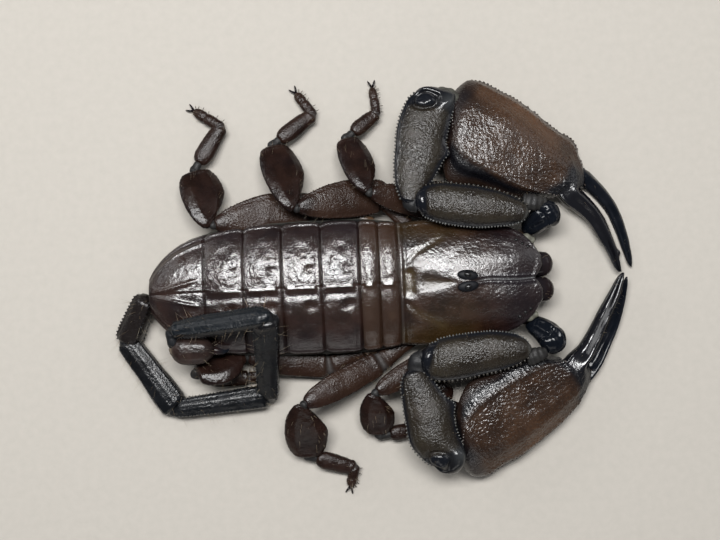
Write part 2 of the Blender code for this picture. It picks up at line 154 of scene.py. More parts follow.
# distances to the nearest and next nearest scattered centre, one centre in each cell of this size
def pebbleDistances(points, size, seed):
    p = points / np.asarray(size, float)
    base = np.floor(p)
    near = np.full(points.shape[:-1], 9.0)
    second = near.copy()
    for offset in np.ndindex(3, 3, 3):
        cell = base + np.array(offset) - 1
        centre = cell + 0.15 + 0.7 * np.stack([cellRandom(cell, seed + k) for k in (1, 2, 3)], axis=-1)
        distance = np.linalg.norm(p - centre, axis=-1)
        second = np.minimum(second, np.maximum(near, distance))
        near = np.minimum(near, distance)
    return near, second


# grain like leather: flat-topped cells with narrow creases where two centres are equally near
def leatherGrain(points, size, seed):
    near, second = pebbleDistances(points, size, seed)
    return np.clip((second - near) * 2.2, 0, 1) ** 0.7


# round granules: a dome over each scattered centre
def granules(points, size, seed, reach=0.5):
    near, _ = pebbleDistances(points, size, seed)
    return np.clip(1 - (near / reach) ** 2, 0, 1)


# outward unit normals of a grid of points, from the cross product of its two directions
def gridNormals(points, wraps):
    if wraps:
        around = np.roll(points, -1, axis=1) - np.roll(points, 1, axis=1)
    else:
        around = np.gradient(points, axis=1)
    return unit(np.cross(np.gradient(points, axis=0), around))


# four-cornered faces of a grid, joined round to its first column where it wraps
def gridFaces(rows, columns, wraps):
    i = np.arange(rows - 1)[:, None] * columns
    j = np.arange(columns if wraps else columns - 1)[None, :]
    k = (j + 1) % columns
    corners = (i + j, i + k, i + columns + k, i + columns + j)
    return np.stack([np.broadcast_to(c, (rows - 1, j.shape[1])).reshape(-1) for c in corners], axis=1)


# enclosed volume: a sixth of the sum of each triangle's triple product
def meshVolume(points, triangles):
    a, b, c = (points[triangles[:, n]] for n in range(3))
    return float(np.einsum("ij,ij->i", a, np.cross(b, c)).sum() / 6)


# the surface as {points, quads, tris, marks}, its faces turned outwards where the enclosed volume is negative
def faceOut(points, quads, tris, marks):
    halves = np.concatenate([quads[:, [0, 1, 2]], quads[:, [0, 2, 3]], tris])
    if meshVolume(points - points.mean(0), halves) < 0:
        quads, tris = quads[:, ::-1], tris[:, ::-1]
    return {"points": points, "quads": quads, "tris": tris, "marks": marks}


# a closed tube: rings joined in turn, each end drawn to the middle of its last ring
def closedTube(rings, marks=None):
    rows, columns = rings.shape[:2]
    ends = np.stack([rings[0].mean(0), rings[-1].mean(0)])
    points = np.concatenate([rings.reshape(-1, 3), ends])
    j = np.arange(columns)
    k = (j + 1) % columns
    first = np.stack([np.full(columns, rows * columns), k, j], axis=1)
    last = (rows - 1) * columns
    final = np.stack([np.full(columns, rows * columns + 1), last + j, last + k], axis=1)
    flat = {}
    for name, values in (marks or {}).items():
        values = np.broadcast_to(values, (rows, columns))
        flat[name] = np.concatenate([values.reshape(-1), [values[0].mean(), values[-1].mean()]])
    return faceOut(points, gridFaces(rows, columns, True), np.concatenate([first, final]), flat)


# a closed plate: a top and an under grid that share the points of their edge
def closedPlate(top, under, marks):
    rows, columns = top.shape[:2]
    inner = np.zeros((rows, columns), bool)
    inner[1:-1, 1:-1] = True
    index = np.arange(rows * columns).reshape(rows, columns)
    underIndex = index.copy()
    underIndex[inner] = rows * columns + np.arange(inner.sum())
    faces = gridFaces(rows, columns, False)
    quads = np.concatenate([faces, underIndex.reshape(-1)[faces][:, ::-1]])
    points = np.concatenate([top.reshape(-1, 3), under[inner]])
    flat = {}
    for name, values in marks.items():
        values = np.broadcast_to(values, (rows, columns))
        flat[name] = np.concatenate([values.reshape(-1), values[inner]])
    return faceOut(points, quads, np.zeros((0, 3), int), flat)


# copies of one small closed shape: its points turned by each place's three axes, scaled and moved there
def scatterCopies(shape, places, axes, marks):
    points = places[:, None, :] + np.einsum("pk,nkx->npx", shape["points"], axes)
    count, size = len(places), len(shape["points"])
    shift = (np.arange(count) * size)[:, None, None]
    flat = {name: np.repeat(np.broadcast_to(v, count), size) for name, v in marks.items()}
    return {
        "points": points.reshape(-1, 3),
        "quads": (shape["quads"][None] + shift).reshape(-1, 4),
        "tris": (shape["tris"][None] + shift).reshape(-1, 3),
        "marks": flat,
    }


markNames = ("tone", "relief", "polish", "pale")


# what the finishes read at each point: warm or cool, high or low in creases (low places get painted shade),
# polished or dull, pale (pale markings, and painted glints on studs)
def marked(tone=0, relief=0, polish=0, pale=0):
    return dict(zip(markNames, (tone, relief, polish, pale)))


# one object from several surfaces, with its marks as point attributes, riding on the model's only body
def newPiece(name, surfaces, finish, *nodes, slot=None, patches=None):
    starts = np.cumsum([0] + [len(s["points"]) for s in surfaces])
    points = np.concatenate([s["points"] for s in surfaces])
    points[:, 2] = np.maximum(points[:, 2], floorGap)
    points = points * mm + ownOrigin
    quads = np.concatenate([s["quads"] + n for s, n in zip(surfaces, starts)])
    tris = np.concatenate([s["tris"] + n for s, n in zip(surfaces, starts)])
    mesh = bpy.data.meshes.new(name)
    mesh.vertices.add(len(points))
    mesh.vertices.foreach_set("co", points.astype(np.float32).reshape(-1))
    corners = np.concatenate([quads.reshape(-1), tris.reshape(-1)]).astype(np.int32)
    sizes = np.concatenate([np.full(len(quads), 4), np.full(len(tris), 3)])
    mesh.loops.add(len(corners))
    mesh.loops.foreach_set("vertex_index", corners)
    mesh.polygons.add(len(sizes))
    mesh.polygons.foreach_set("loop_start", (np.cumsum(sizes) - sizes).astype(np.int32))
    mesh.update(calc_edges=True)
    mesh.shade_smooth()
    for markName in markNames:
        values = [np.broadcast_to(s["marks"].get(markName, 0), len(s["points"])) for s in surfaces]
        values = np.clip(np.concatenate(values), -1 if markName in ("tone", "polish") else 0, 1)
        mesh.attributes.new(markName, "FLOAT", "POINT").data.foreach_set("value", values.astype(np.float32))
    if patches is not None:
        layer = mesh.uv_layers.new(name="OFBake")
        layer.data.foreach_set("uv", patches[corners].astype(np.float32).reshape(-1))
    mesh.materials.append(materials[finish])
    piece = bpy.data.objects.new(name, mesh)
    bpy.context.scene.collection.objects.link(piece)
    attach(piece, "root")
    if nodes:
        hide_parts(*nodes)
    slot = slot or finishes[finish][0]


# rings of these half widths and heights, square to the path and rolled about it by this many degrees
def limbRings(path, halfWidth, halfHeight, columns, roll, power):
    ahead = unit(np.gradient(path, axis=0))
    across = unit(np.cross(up, ahead))
    rise = np.cross(ahead, across)
    turn = np.radians(roll) * np.ones(len(path))
    side = across * np.cos(turn)[:, None] + rise * np.sin(turn)[:, None]
    top = rise * np.cos(turn)[:, None] - across * np.sin(turn)[:, None]
    angle = onceRound(columns)
    c, s = roundedBox(angle, power)
    rings = (path[:, None, :] + side[:, None, :] * (halfWidth[:, None] * c)[..., None]
             + top[:, None, :] * (halfHeight[:, None] * s)[..., None])
    return rings, np.broadcast_to(np.degrees(angle)[None, :], rings.shape[:2])


# grid normals, turned round where most of them face the middle of their ring
def outwardNormals(rings):
    normals = gridNormals(rings, True)
    middle = rings.mean(1, keepdims=True)
    return normals * np.sign(np.einsum("ijk,ijk->ij", normals, rings - middle).sum())


# rows slide along the limb so that each end lies in the plane that halves the bend at its joint
def mitreEnds(rings, before, start, end, after, gaps, t, share):
    axis = unit(end - start)
    for joint, other, forward, near, gap in (
        (start, before, True, np.clip(1 - 2 * t, 0, 1), gaps[0]),
        (end, after, False, np.clip(2 * t - 1, 0, 1), gaps[1]),
    ):
        if other is None:
            continue
        outer = unit(start - other) if forward else unit(other - end)
        facing = unit(outer * share + axis * (2 - share))
        if not forward:
            facing = -facing
        centre = (start + (end - start) * t[:, None, None]) - joint
        reach = (joint + centre + facing * gap - rings) @ facing / (axis @ facing)
        rings = rings + axis * (reach * near[:, None])[..., None]
    return rings


# a small low dome of a few faces, standing on its own middle along the third axis
def studShape():
    rows = [(0.0, -0.5), (0.9, -0.1), (0.78, 0.5), (0.35, 0.9)]
    angle = onceRound(6)
    return closedTube(np.array([[(r * math.cos(a), r * math.sin(a), z) for a in angle] for r, z in rows]))


# how far each place lies from a bent line, and how far along it, 0 to 1, the nearest spot is
def lineDistance(x, y, line):
    line = np.asarray(line, float)
    best, along = np.full(x.shape, 99.0), np.zeros(x.shape)
    lengths = np.linalg.norm(np.diff(line, axis=0), axis=1)
    run = np.concatenate([[0], np.cumsum(lengths)]) / lengths.sum()
    for n in range(len(line) - 1):
        step = line[n + 1] - line[n]
        u = np.clip(((x - line[n, 0]) * step[0] + (y - line[n, 1]) * step[1]) / (step @ step), 0, 1)
        distance = np.hypot(x - line[n, 0] - u * step[0], y - line[n, 1] - u * step[1])
        nearer = distance < best
        best = np.where(nearer, distance, best)
        along = np.where(nearer, run[n] + u * (run[n + 1] - run[n]), along)
    return best, along


# a closed plate of this thickness below these places
def plateUnder(x, y, z, thick, marks):
    top = np.stack([x, y, z], axis=-1)
    return closedPlate(top, top - np.array([0, 0, thick]), marks)


# a plate's edge turned down in a quarter round: nothing at this reach from the edge, the full depth on it
def edgeRoll(distance, reach, depth):
    near = 1 - np.clip(distance / reach, 0, 1)
    return -depth * (1 - np.sqrt(np.clip(1 - near * near, 0, 1)))


# sockets are linked to these inputs, and plain values set on them
def feed(tree, node, inputs):
    for key, value in inputs.items():
        if isinstance(value, bpy.types.NodeSocket):
            tree.links.new(value, node.inputs[key])
        else:
            node.inputs[key].default_value = value


# a node with its settings and its inputs
def addNode(tree, kind, inputs=None, **settings):
    node = tree.nodes.new(kind)
    for key, value in settings.items():
        setattr(node, key, value)
    feed(tree, node, inputs or {})
    return node


# one sum, product or other step of arithmetic
def mathNode(tree, operation, first, second, clamp=False):
    inputs = {0: first, 1: second}
    return addNode(tree, "ShaderNodeMath", inputs, operation=operation, use_clamp=clamp).outputs[0]


# two colours mixed by a factor
def mixColour(tree, factor, first, second, blend="MIX"):
    inputs = {0: factor, 6: first, 7: second}
    return addNode(tree, "ShaderNodeMix", inputs, data_type="RGBA", blend_type=blend).outputs[2]


# a value moved from one range to another, and kept inside it
def remap(tree, value, low, high, toLow=0.0, toHigh=1.0):
    return addNode(tree, "ShaderNodeMapRange", {0: value, 1: low, 2: high, 3: toLow, 4: toHigh}).outputs[0]


# a node group whose inputs and outputs are listed by kind
def newGroup(name, inputs, outputs):
    group = bpy.data.node_groups.new(name, "ShaderNodeTree")
    for direction, kinds in (("INPUT", inputs), ("OUTPUT", outputs)):
        for kind, labels in kinds.items():
            for label in labels:
                group.interface.new_socket(name=label, in_out=direction, socket_type="NodeSocket" + kind)
    return group, group.nodes.new("NodeGroupInput").outputs, group.nodes.new("NodeGroupOutput").inputs


# fine pits and grain, as cells and noise on the object's own coordinates, and broad cloudy mottling
def shellGrainGroup():
    group, given, result = newGroup(
        "shellGrain",
        {"Vector": ["Place"], "Float": ["Grain per metre", "Mottle per metre", "Pitted"]},
        {"Float": ["Height", "Mottle", "Speck"]},
    )
    fine = {"Vector": given["Place"], "Scale": given["Grain per metre"]}
    broad = {"Vector": given["Place"], "Scale": given["Mottle per metre"], "Detail": 5.0, "Roughness": 0.62}
    cells = addNode(group, "ShaderNodeTexVoronoi", fine, feature="F1")
    dust = addNode(group, "ShaderNodeTexNoise", {**fine, "Detail": 3.0})
    cloud = addNode(group, "ShaderNodeTexNoise", broad)
    pits = mathNode(group, "MULTIPLY", cells.outputs["Distance"], given["Pitted"])
    group.links.new(mathNode(group, "ADD", pits, dust.outputs[0]), result["Height"])
    group.links.new(remap(group, cloud.outputs[0], 0.32, 0.68), result["Mottle"])
    group.links.new(remap(group, dust.outputs[0], 0.45, 0.7), result["Speck"])
    return group


# the shell's colour: deep to lit by the mottling, warmed or cooled by the tone, darkened where the relief
# mark is low as painted shade in creases, pits and seams, and paled by the pale mark: pale rims and lines,
# and painted glints on studs
def shellColourGroup():
    group, given, result = newGroup(
        "shellColour",
        {"Color": ["Deep", "Lit", "Warm", "Cool", "Pale"],
         "Float": ["Crease shade", "Mottle", "Speck", "Tone", "Relief", "Paleness"]},
        {"Color": ["Colour"]},
    )
    body = mixColour(group, given["Mottle"], given["Deep"], given["Lit"])
    for share, colour in ((1.0, "Warm"), (-1.0, "Cool")):
        factor = mathNode(group, "MULTIPLY", given["Tone"], share, clamp=True)
        body = mixColour(group, factor, body, given[colour])
    # painted shade: the colour multiplied darker, mixed in where the relief mark is low, as strong as
    # creaseShade asks
    dark = mixColour(group, 1.0, body, (0.35, 0.3, 0.3, 1), "MULTIPLY")
    low = mathNode(group, "SUBTRACT", 1.0, given["Relief"], clamp=True)
    body = mixColour(group, mathNode(group, "MULTIPLY", low, given["Crease shade"]), body, dark)
    # the pale mark made a little uneven by the specks: pale rims and lines, and the painted glints on studs
    speckFactor = remap(group, given["Speck"], 0.0, 1.0, 0.75, 1.0)
    rim = mathNode(group, "MULTIPLY", given["Paleness"], speckFactor, clamp=True)
    group.links.new(mixColour(group, rim, body, given["Pale"]), result["Colour"])
    return group


# roughness: a base value, rougher where mottled and in creases, smoother where polished
def shellGlossGroup():
    inputs = {"Float": ["Base", "Spread", "Mottle", "Polish", "Relief"]}
    group, given, result = newGroup("shellGloss", inputs, {"Float": ["Roughness"]})
    mottled = mathNode(group, "SUBTRACT", given["Mottle"], 0.5)
    spread = mathNode(group, "MULTIPLY", mottled, given["Spread"])
    smooth = mathNode(group, "MULTIPLY", given["Polish"], -0.12)
    raised = mathNode(group, "MULTIPLY", given["Relief"], 3.0)
    dull = mathNode(group, "MULTIPLY", mathNode(group, "SUBTRACT", 1.0, raised, clamp=True), 0.25)
    value = mathNode(group, "ADD", mathNode(group, "ADD", given["Base"], spread), smooth)
    value = mathNode(group, "ADD", value, dull)
    group.links.new(mathNode(group, "MAXIMUM", value, 0.12), result["Roughness"])
    return group


shellGrain, shellColour, shellGloss = shellGrainGroup(), shellColourGroup(), shellGlossGroup()


# a finish: grain, colour and gloss groups fed by the object's coordinates and the marks at each point
# creaseShade is how strongly low places take painted shade
def newMaterial(name, deep, lit, warm, cool, roughness, specular, grain, mottle, bump,
                pale=(0.34, 0.36, 0.36), creaseShade=0.6, pitted=0.5, spread=0.12, coat=0.0, coatRoughness=0.15):
    material = bpy.data.materials.new(name)
    material.use_nodes = True
    tree = material.node_tree
    place = addNode(tree, "ShaderNodeTexCoord").outputs["Object"]
    marks = {}
    for key in markNames:
        marks[key] = addNode(tree, "ShaderNodeAttribute", attribute_name=key).outputs["Fac"]
    inputs = {"Place": place, "Grain per metre": grain, "Mottle per metre": mottle, "Pitted": pitted}
    found = addNode(tree, "ShaderNodeGroup", inputs, node_tree=shellGrain).outputs
    colours = (("Deep", deep), ("Lit", lit), ("Warm", warm), ("Cool", cool), ("Pale", pale))
    inputs = {key: (*colour, 1) for key, colour in colours}
    inputs |= {"Crease shade": creaseShade, "Mottle": found["Mottle"], "Speck": found["Speck"]}
    inputs |= {"Tone": marks["tone"], "Relief": marks["relief"], "Paleness": marks["pale"]}
    colour = addNode(tree, "ShaderNodeGroup", inputs, node_tree=shellColour)
    inputs = {"Base": roughness, "Spread": spread, "Mottle": found["Mottle"], "Polish": marks["polish"],
              "Relief": marks["relief"]}
    gloss = addNode(tree, "ShaderNodeGroup", inputs, node_tree=shellGloss)
    rough = remap(tree, marks["polish"], 0.4, 0.9, 1.0, 0.15)  # polish smooths the grain away
    height = mathNode(tree, "MULTIPLY", found["Height"], rough)
    bumped = addNode(tree, "ShaderNodeBump", {"Strength": 1.0, "Distance": bump * 1e-6, "Height": height})
    feed(tree, tree.nodes["Principled BSDF"], {
        "Base Color": colour.outputs[0], "Roughness": gloss.outputs[0], "Normal": bumped.outputs[0],
        "Specular IOR Level": specular, "Coat Weight": coat, "Coat Roughness": coatRoughness,
    })
    return material


# slot; deep, lit, warm and cool colours; roughness, specular, grain and mottle per metre, bump in micrometres
finishes = {
    "shieldShell": ("shell", (0.010, 0.0055, 0.004), (0.036, 0.014, 0.0065), (0.052, 0.032, 0.009),
                    (0.009, 0.005, 0.008), 0.27, 0.9, 5600, 260, 28, {}),
    "backShell": ("shell", (0.011, 0.006, 0.005), (0.028, 0.0125, 0.009), (0.042, 0.022, 0.012),
                  (0.009, 0.006, 0.008), 0.24, 0.9, 5600, 300, 35, {}),
    "handShell": ("brown_shell", (0.021, 0.0105, 0.006), (0.05, 0.025, 0.0125), (0.085, 0.04, 0.018),
                  (0.005, 0.005, 0.007), 0.27, 0.65, 4200, 240, 40, {"creaseShade": 0.75, "pitted": -1.0}),
    "fingerShell": ("black_shell", (0.004, 0.005, 0.007), (0.01, 0.011, 0.015), (0.03, 0.012, 0.007),
                    (0.003, 0.005, 0.009), 0.25, 0.19, 4200, 420, 15, {}),
    "armShell": ("shell", (0.013, 0.0095, 0.0065), (0.026, 0.0205, 0.0125), (0.03, 0.011, 0.007),
                 (0.005, 0.006, 0.009), 0.29, 0.4, 5200, 320, 40, {"creaseShade": 0.75, "pitted": -1.2}),
    "tailShell": ("black_shell", (0.003, 0.0035, 0.0045), (0.007, 0.008, 0.010), (0.014, 0.009, 0.007),
                  (0.006, 0.0085, 0.0115), 0.3, 0.36, 4200, 400, 30, {"pitted": -0.8}),
    "bulbShell": ("brown_shell", (0.012, 0.007, 0.006), (0.03, 0.017, 0.014), (0.06, 0.034, 0.02),
                  (0.007, 0.006, 0.006), 0.34, 0.4, 3600, 500, 30, {"pale": (0.25, 0.2, 0.14)}),
    "legShell": ("leg_shell", (0.008, 0.004, 0.003), (0.022, 0.010, 0.007), (0.036, 0.019, 0.012),
                 (0.006, 0.004, 0.005), 0.32, 0.25, 4600, 380, 50, {}),
    "jointSkin": ("underside", (0.03, 0.026, 0.022), (0.075, 0.068, 0.056), (0.09, 0.055, 0.03),
                  (0.01, 0.011, 0.013), 0.5, 0.25, 6000, 500, 40, {"pale": (0.2, 0.2, 0.16)}),
    "underShell": ("underside", (0.075, 0.04, 0.02), (0.17, 0.1, 0.05), (0.25, 0.15, 0.07),
                   (0.03, 0.022, 0.018), 0.4, 0.5, 4200, 300, 30, {"pale": (0.4, 0.34, 0.24)}),
    "eyeLens": ("eye", (0.002, 0.002, 0.003), (0.006, 0.005, 0.006), (0.01, 0.006, 0.004),
                (0.003, 0.003, 0.004), 0.1, 0.4, 3000, 900, 3,
                {"spread": 0.03, "coat": 0.4, "coatRoughness": 0.04}),
    "bristle": ("leg_shell", (0.26, 0.21, 0.14), (0.46, 0.4, 0.3), (0.3, 0.2, 0.11), (0.12, 0.08, 0.05),
                0.45, 0.5, 3000, 600, 5, {"pale": (0.6, 0.55, 0.45)}),
}
materials = {name: newMaterial(name, *look[1:-1], **look[-1]) for name, look in finishes.items()}
print("materials ready:", len(materials))

headShield = {
    "length": 19.7,
    "breadth": 18,
    "halfWidth": ((0, 8.5), (0.25, 8.75), (0.6, 8.1), (0.8, 7.1), (0.92, 5.3), (1, 2.9)),
    "crown": ((0, 7.3), (0.45, 7.8), (0.8, 7.2), (1, 6.3)),
    "rim": ((0, 4.9), (0.6, 4.9), (0.85, 5.3), (1, 5.9)),
    "arch": 2.4,
    "notch": 1.1,
    "lap": 0.3,
    "eyeAt": (9.1, 0.75),
    "eyeRadii": (0.6, 0.44, 0.46),
    "smallEyes": ((17.0, 4.75), (17.75, 4.3), (16.2, 5.3)),
    "smallRadii": (0.24, 0.2, 0.2),
    "moundRadii": (1.45, 0.74, 0.42),
    "moundHeight": 0.4,
    "rimBands": ((0.05, 0.35, 0.25), (-0.04, 0.85, 0.3)),
    "thick": 0.5,
    "sideFurrow": ((0.9, 2.8), (2.4, 4.3), (5.6, 5.9)),
    "frontBow": ((7.0, 3.4), (9.5, 4.6), (12.5, 4.9), (15.2, 4.0)),
    "midline": ((10.2, -0.1), (12.0, 0.12), (14.0, 0.0), (16.0, -0.12), (18.4, 0.0)),
}


# all pairs of two runs of values, as two grids
def gridOf(first, second):
    return np.meshgrid(first, second, indexing="ij")


# the shield's base height: rim to crown over a flattened arch, with a bell-shaped mound for the eyes
def shieldHeight(s, r):
    rim, crown = throughStops(headShield["rim"], s), throughStops(headShield["crown"], s)
    x, y = s * headShield["length"], r * throughStops(headShield["halfWidth"], s)
    mound = headShield["moundHeight"] * bell(x, headShield["eyeAt"][0], 1.5) * bell(y, 0, 1.1)
    return rim + (crown - rim) * (1 - np.abs(r) ** headShield["arch"]) + mound


# where a place of the shield is on its top, for pieces that stand on it
def onShield(x, y):
    s = x / headShield["length"]
    r = y / throughStops(headShield["halfWidth"], s)
    return np.array([x, y, float(shieldHeight(np.array(s), np.array(r)))])


# the head shield: bells along its furrows and rims raise or sink it, and granules roughen its sides and front
def makeShield():
    d = headShield
    s, r = gridOf(endDense(int(d["length"] / gridStep), 0.3),
                  2 * endDense(int(d["breadth"] / gridStep), 0.3) - 1)
    halfWidth = throughStops(d["halfWidth"], s)
    notch = d["notch"] * np.maximum(0, 1 - np.abs(r) * 1.6) ** 1.5 * s ** 6
    x = s * d["length"] - d["lap"] * (1 - s) ** 8 - notch
    y = r * halfWidth
    z = shieldHeight(s, r)
    side, front, rear = (1 - np.abs(r)) * halfWidth, (1 - s) * d["length"], s * d["length"]
    rim = np.minimum(side, front * 0.8)
    place = np.stack([x, y, z], axis=-1)

    lift = collars(rim, d["rimBands"])
    hollow = bell(rear, 1.35, 0.8) * (1 - ease(np.abs(y - 0.1), 1.2, 2.5))
    lift += 0.06 * bell(rear, 0.35, 0.25) - 0.1 * bell(rear, 0.85, 0.25) * (1 - hollow)
    lift -= 0.3 * hollow
    lift += 0.1 * bell(x, 3.6, 1.7) * bell(np.abs(y - 0.1), 1.6, 0.85)
    furrow = bell(y, -0.1, np.maximum(0.25, 1.15 - (x - 2.6) * 0.2)) * ease(x, 2.2, 3.6)
    furrow = furrow * (1 - ease(x, 6.4, 8.0))
    lift -= 0.14 * furrow
    middle, _ = lineDistance(x, y, d["midline"])
    lift -= 0.13 * bell(middle, 0, 0.15) * ease(x, 9.8, 10.8)
    lift += 0.07 * bell(middle, 0.42, 0.2) * ease(x, 9.8, 10.8)
    slant, run = lineDistance(x, np.abs(y), d["sideFurrow"])
    lift -= 0.14 * bell(slant, 0, 0.42) * (1 - 0.5 * run)
    bow, _ = lineDistance(x, np.abs(y), d["frontBow"])
    lift -= 0.07 * bell(bow, 0, 0.8)
    lift += 0.16 * bell(x, 15.6, 2.6) * bell(np.abs(y), 2.9, 1.9)
    lift += 0.04 * noise(place, 3.4, 3) + 0.012 * noise(place, 1.1, 4)

    grainMask = ease(np.abs(y), 3.0, 6.8) * 0.8 + ease(x, 11.5, 16.5) * 0.6
    grainMask = np.clip(grainMask + 0.75 - hollow, 0.08, 1) * ease(rim, 0.2, 0.7) * ease(rear, 0.5, 1.2)
    fine = granules(place, 0.3, 21, 0.55)
    coarse = granules(place, 0.5, 31, 0.45) * ease(noise(place, 1.6, 8), -0.1, 0.6)
    wrinkle = noise(place, (0.5, 0.28, 0.4), 41)
    lift += grainMask * (0.05 * fine + 0.03 * coarse) + 0.009 * wrinkle * (1 - hollow)
    z = z + lift + edgeRoll(np.minimum(np.minimum(side, front), rear), 0.4, d["thick"])

    olive = hollow + 0.5 * furrow
    olive += 0.5 * bell(slant, 0.1, 0.6) * ease(np.abs(y), 2.0, 4.5) * (1 - ease(x, 5, 8.5))
    olive += 0.4 * ease(np.abs(y), 5.0, 7.0) * (1 - ease(x, 6.0, 13.0))
    olive += 0.2 * ease(-y, 1.0, 4.0) * bell(x, 8, 5)
    purple = 0.75 * ease(x, 9.0, 16.0) + 0.6 * bell(middle, 0.35, 0.4) * ease(x, 9, 11)
    eyeGround = bell(np.hypot((x - d["eyeAt"][0]) / 1.3, (np.abs(y) - d["eyeAt"][1]) / 0.6), 0, 1)
    purple += 3 * ease(eyeGround, 0.3, 0.7)
    # relief is low between the granules and in the groove before the rear rim, painting shade there; the
    # black ground round the eyes uses the same darkening as its own colour
    relief = 0.55 + (0.6 * fine + 0.6 * coarse - 0.35) * grainMask
    relief -= 0.5 * bell(rear, 0.85, 0.28) * (1 - hollow) + 0.5 * ease(eyeGround, 0.3, 0.7)
    pale = 0.05 * bell(rear, 0.25, 0.16) + 0.3 * bell(middle, 0, 0.09) * ease(x, 10.2, 11.2)
    pale += 0.04 * bell(rim, 0.2, 0.12)
    marks = marked(olive - purple, np.clip(relief, 0.34, 1), 0.2 * (1 - grainMask) - 0.5 * furrow, pale)
    newPiece("headShield", [plateUnder(x, y, z, d["thick"], marks)], "shieldShell", "carapace")


# half of an ellipsoid standing on its flat side, its rows closer together near the rim
def dome(centre, radii, rows=10, columns=24, ahead=0.0, marks=None):
    t = np.sin(np.linspace(-0.35, np.pi / 2 - 0.02, rows))
    angle = onceRound(columns)
    ring = np.sqrt(1 - t * t)[:, None]
    x, y = ring * np.cos(angle) * radii[0], ring * np.sin(angle) * radii[1]
    c, s = math.cos(ahead), math.sin(ahead)
    rings = np.stack([x * c - y * s, x * s + y * c, np.broadcast_to(t[:, None] * radii[2], x.shape)], -1)
    return closedTube(rings + np.asarray(centre), marks)


# a mound, a middle eye and three small front eyes on each side
def makeEyes():
    d = headShield
    for side, word in bothSides:
        x, y = d["eyeAt"][0], side * d["eyeAt"][1]
        foot = onShield(x, y) + (0, 0, 0.05)
        mound = dome(foot - (0, 0, 0.05), d["moundRadii"], 16, 48, ahead=-0.12 * side)
        newPiece(f"eyeMound{word}", [mound], "fingerShell")
        lenses = [dome(foot + (0, 0.1 * side, 0.12), d["eyeRadii"], 14, 32, ahead=-0.25 * side)]
        for smallX, smallY in d["smallEyes"]:
            lenses.append(dome(onShield(smallX, side * smallY) + (0, 0, 0.05), d["smallRadii"]))
        newPiece(f"eyes{word}", lenses, "eyeLens", f"eye_{word.lower()}")


trunk = {
    "rimBands": ((0.06, 0.25, 0.18), (-0.05, 0.65, 0.22)),
    "breadth": 18.5,
    "edges": (0.0, -2.7, -5.35, -10.65, -16.05, -21.4, -26.9, -35.2),
    "halfWidth": ((-35.4, 1.9), (-34.4, 3.6), (-32.6, 5.5), (-30.2, 7.0), (-26.6, 8.2), (-21.5, 8.9),
                  (-16, 9.15), (-11, 9.2), (-5.5, 9.15), (0, 8.6)),
    "crown": ((-35.4, 4.8), (-32.6, 5.95), (-27.3, 6.55), (-20, 7.3), (-8, 7.5), (0, 7.3)),
    "rim": ((-35.4, 3.7), (-27.3, 4.5), (-20, 4.9), (0, 4.9)),
    "arch": 2.4,
    "overlap": 0.22,
    "tuck": 0.45,
    "thick": 0.45,
}


# the back's base height: rim to crown over the same flattened arch as the shield
def backHeight(x, r):
    rim, crown = throughStops(trunk["rim"], x), throughStops(trunk["crown"], x)
    return rim + (crown - rim) * (1 - np.abs(r) ** trunk["arch"])


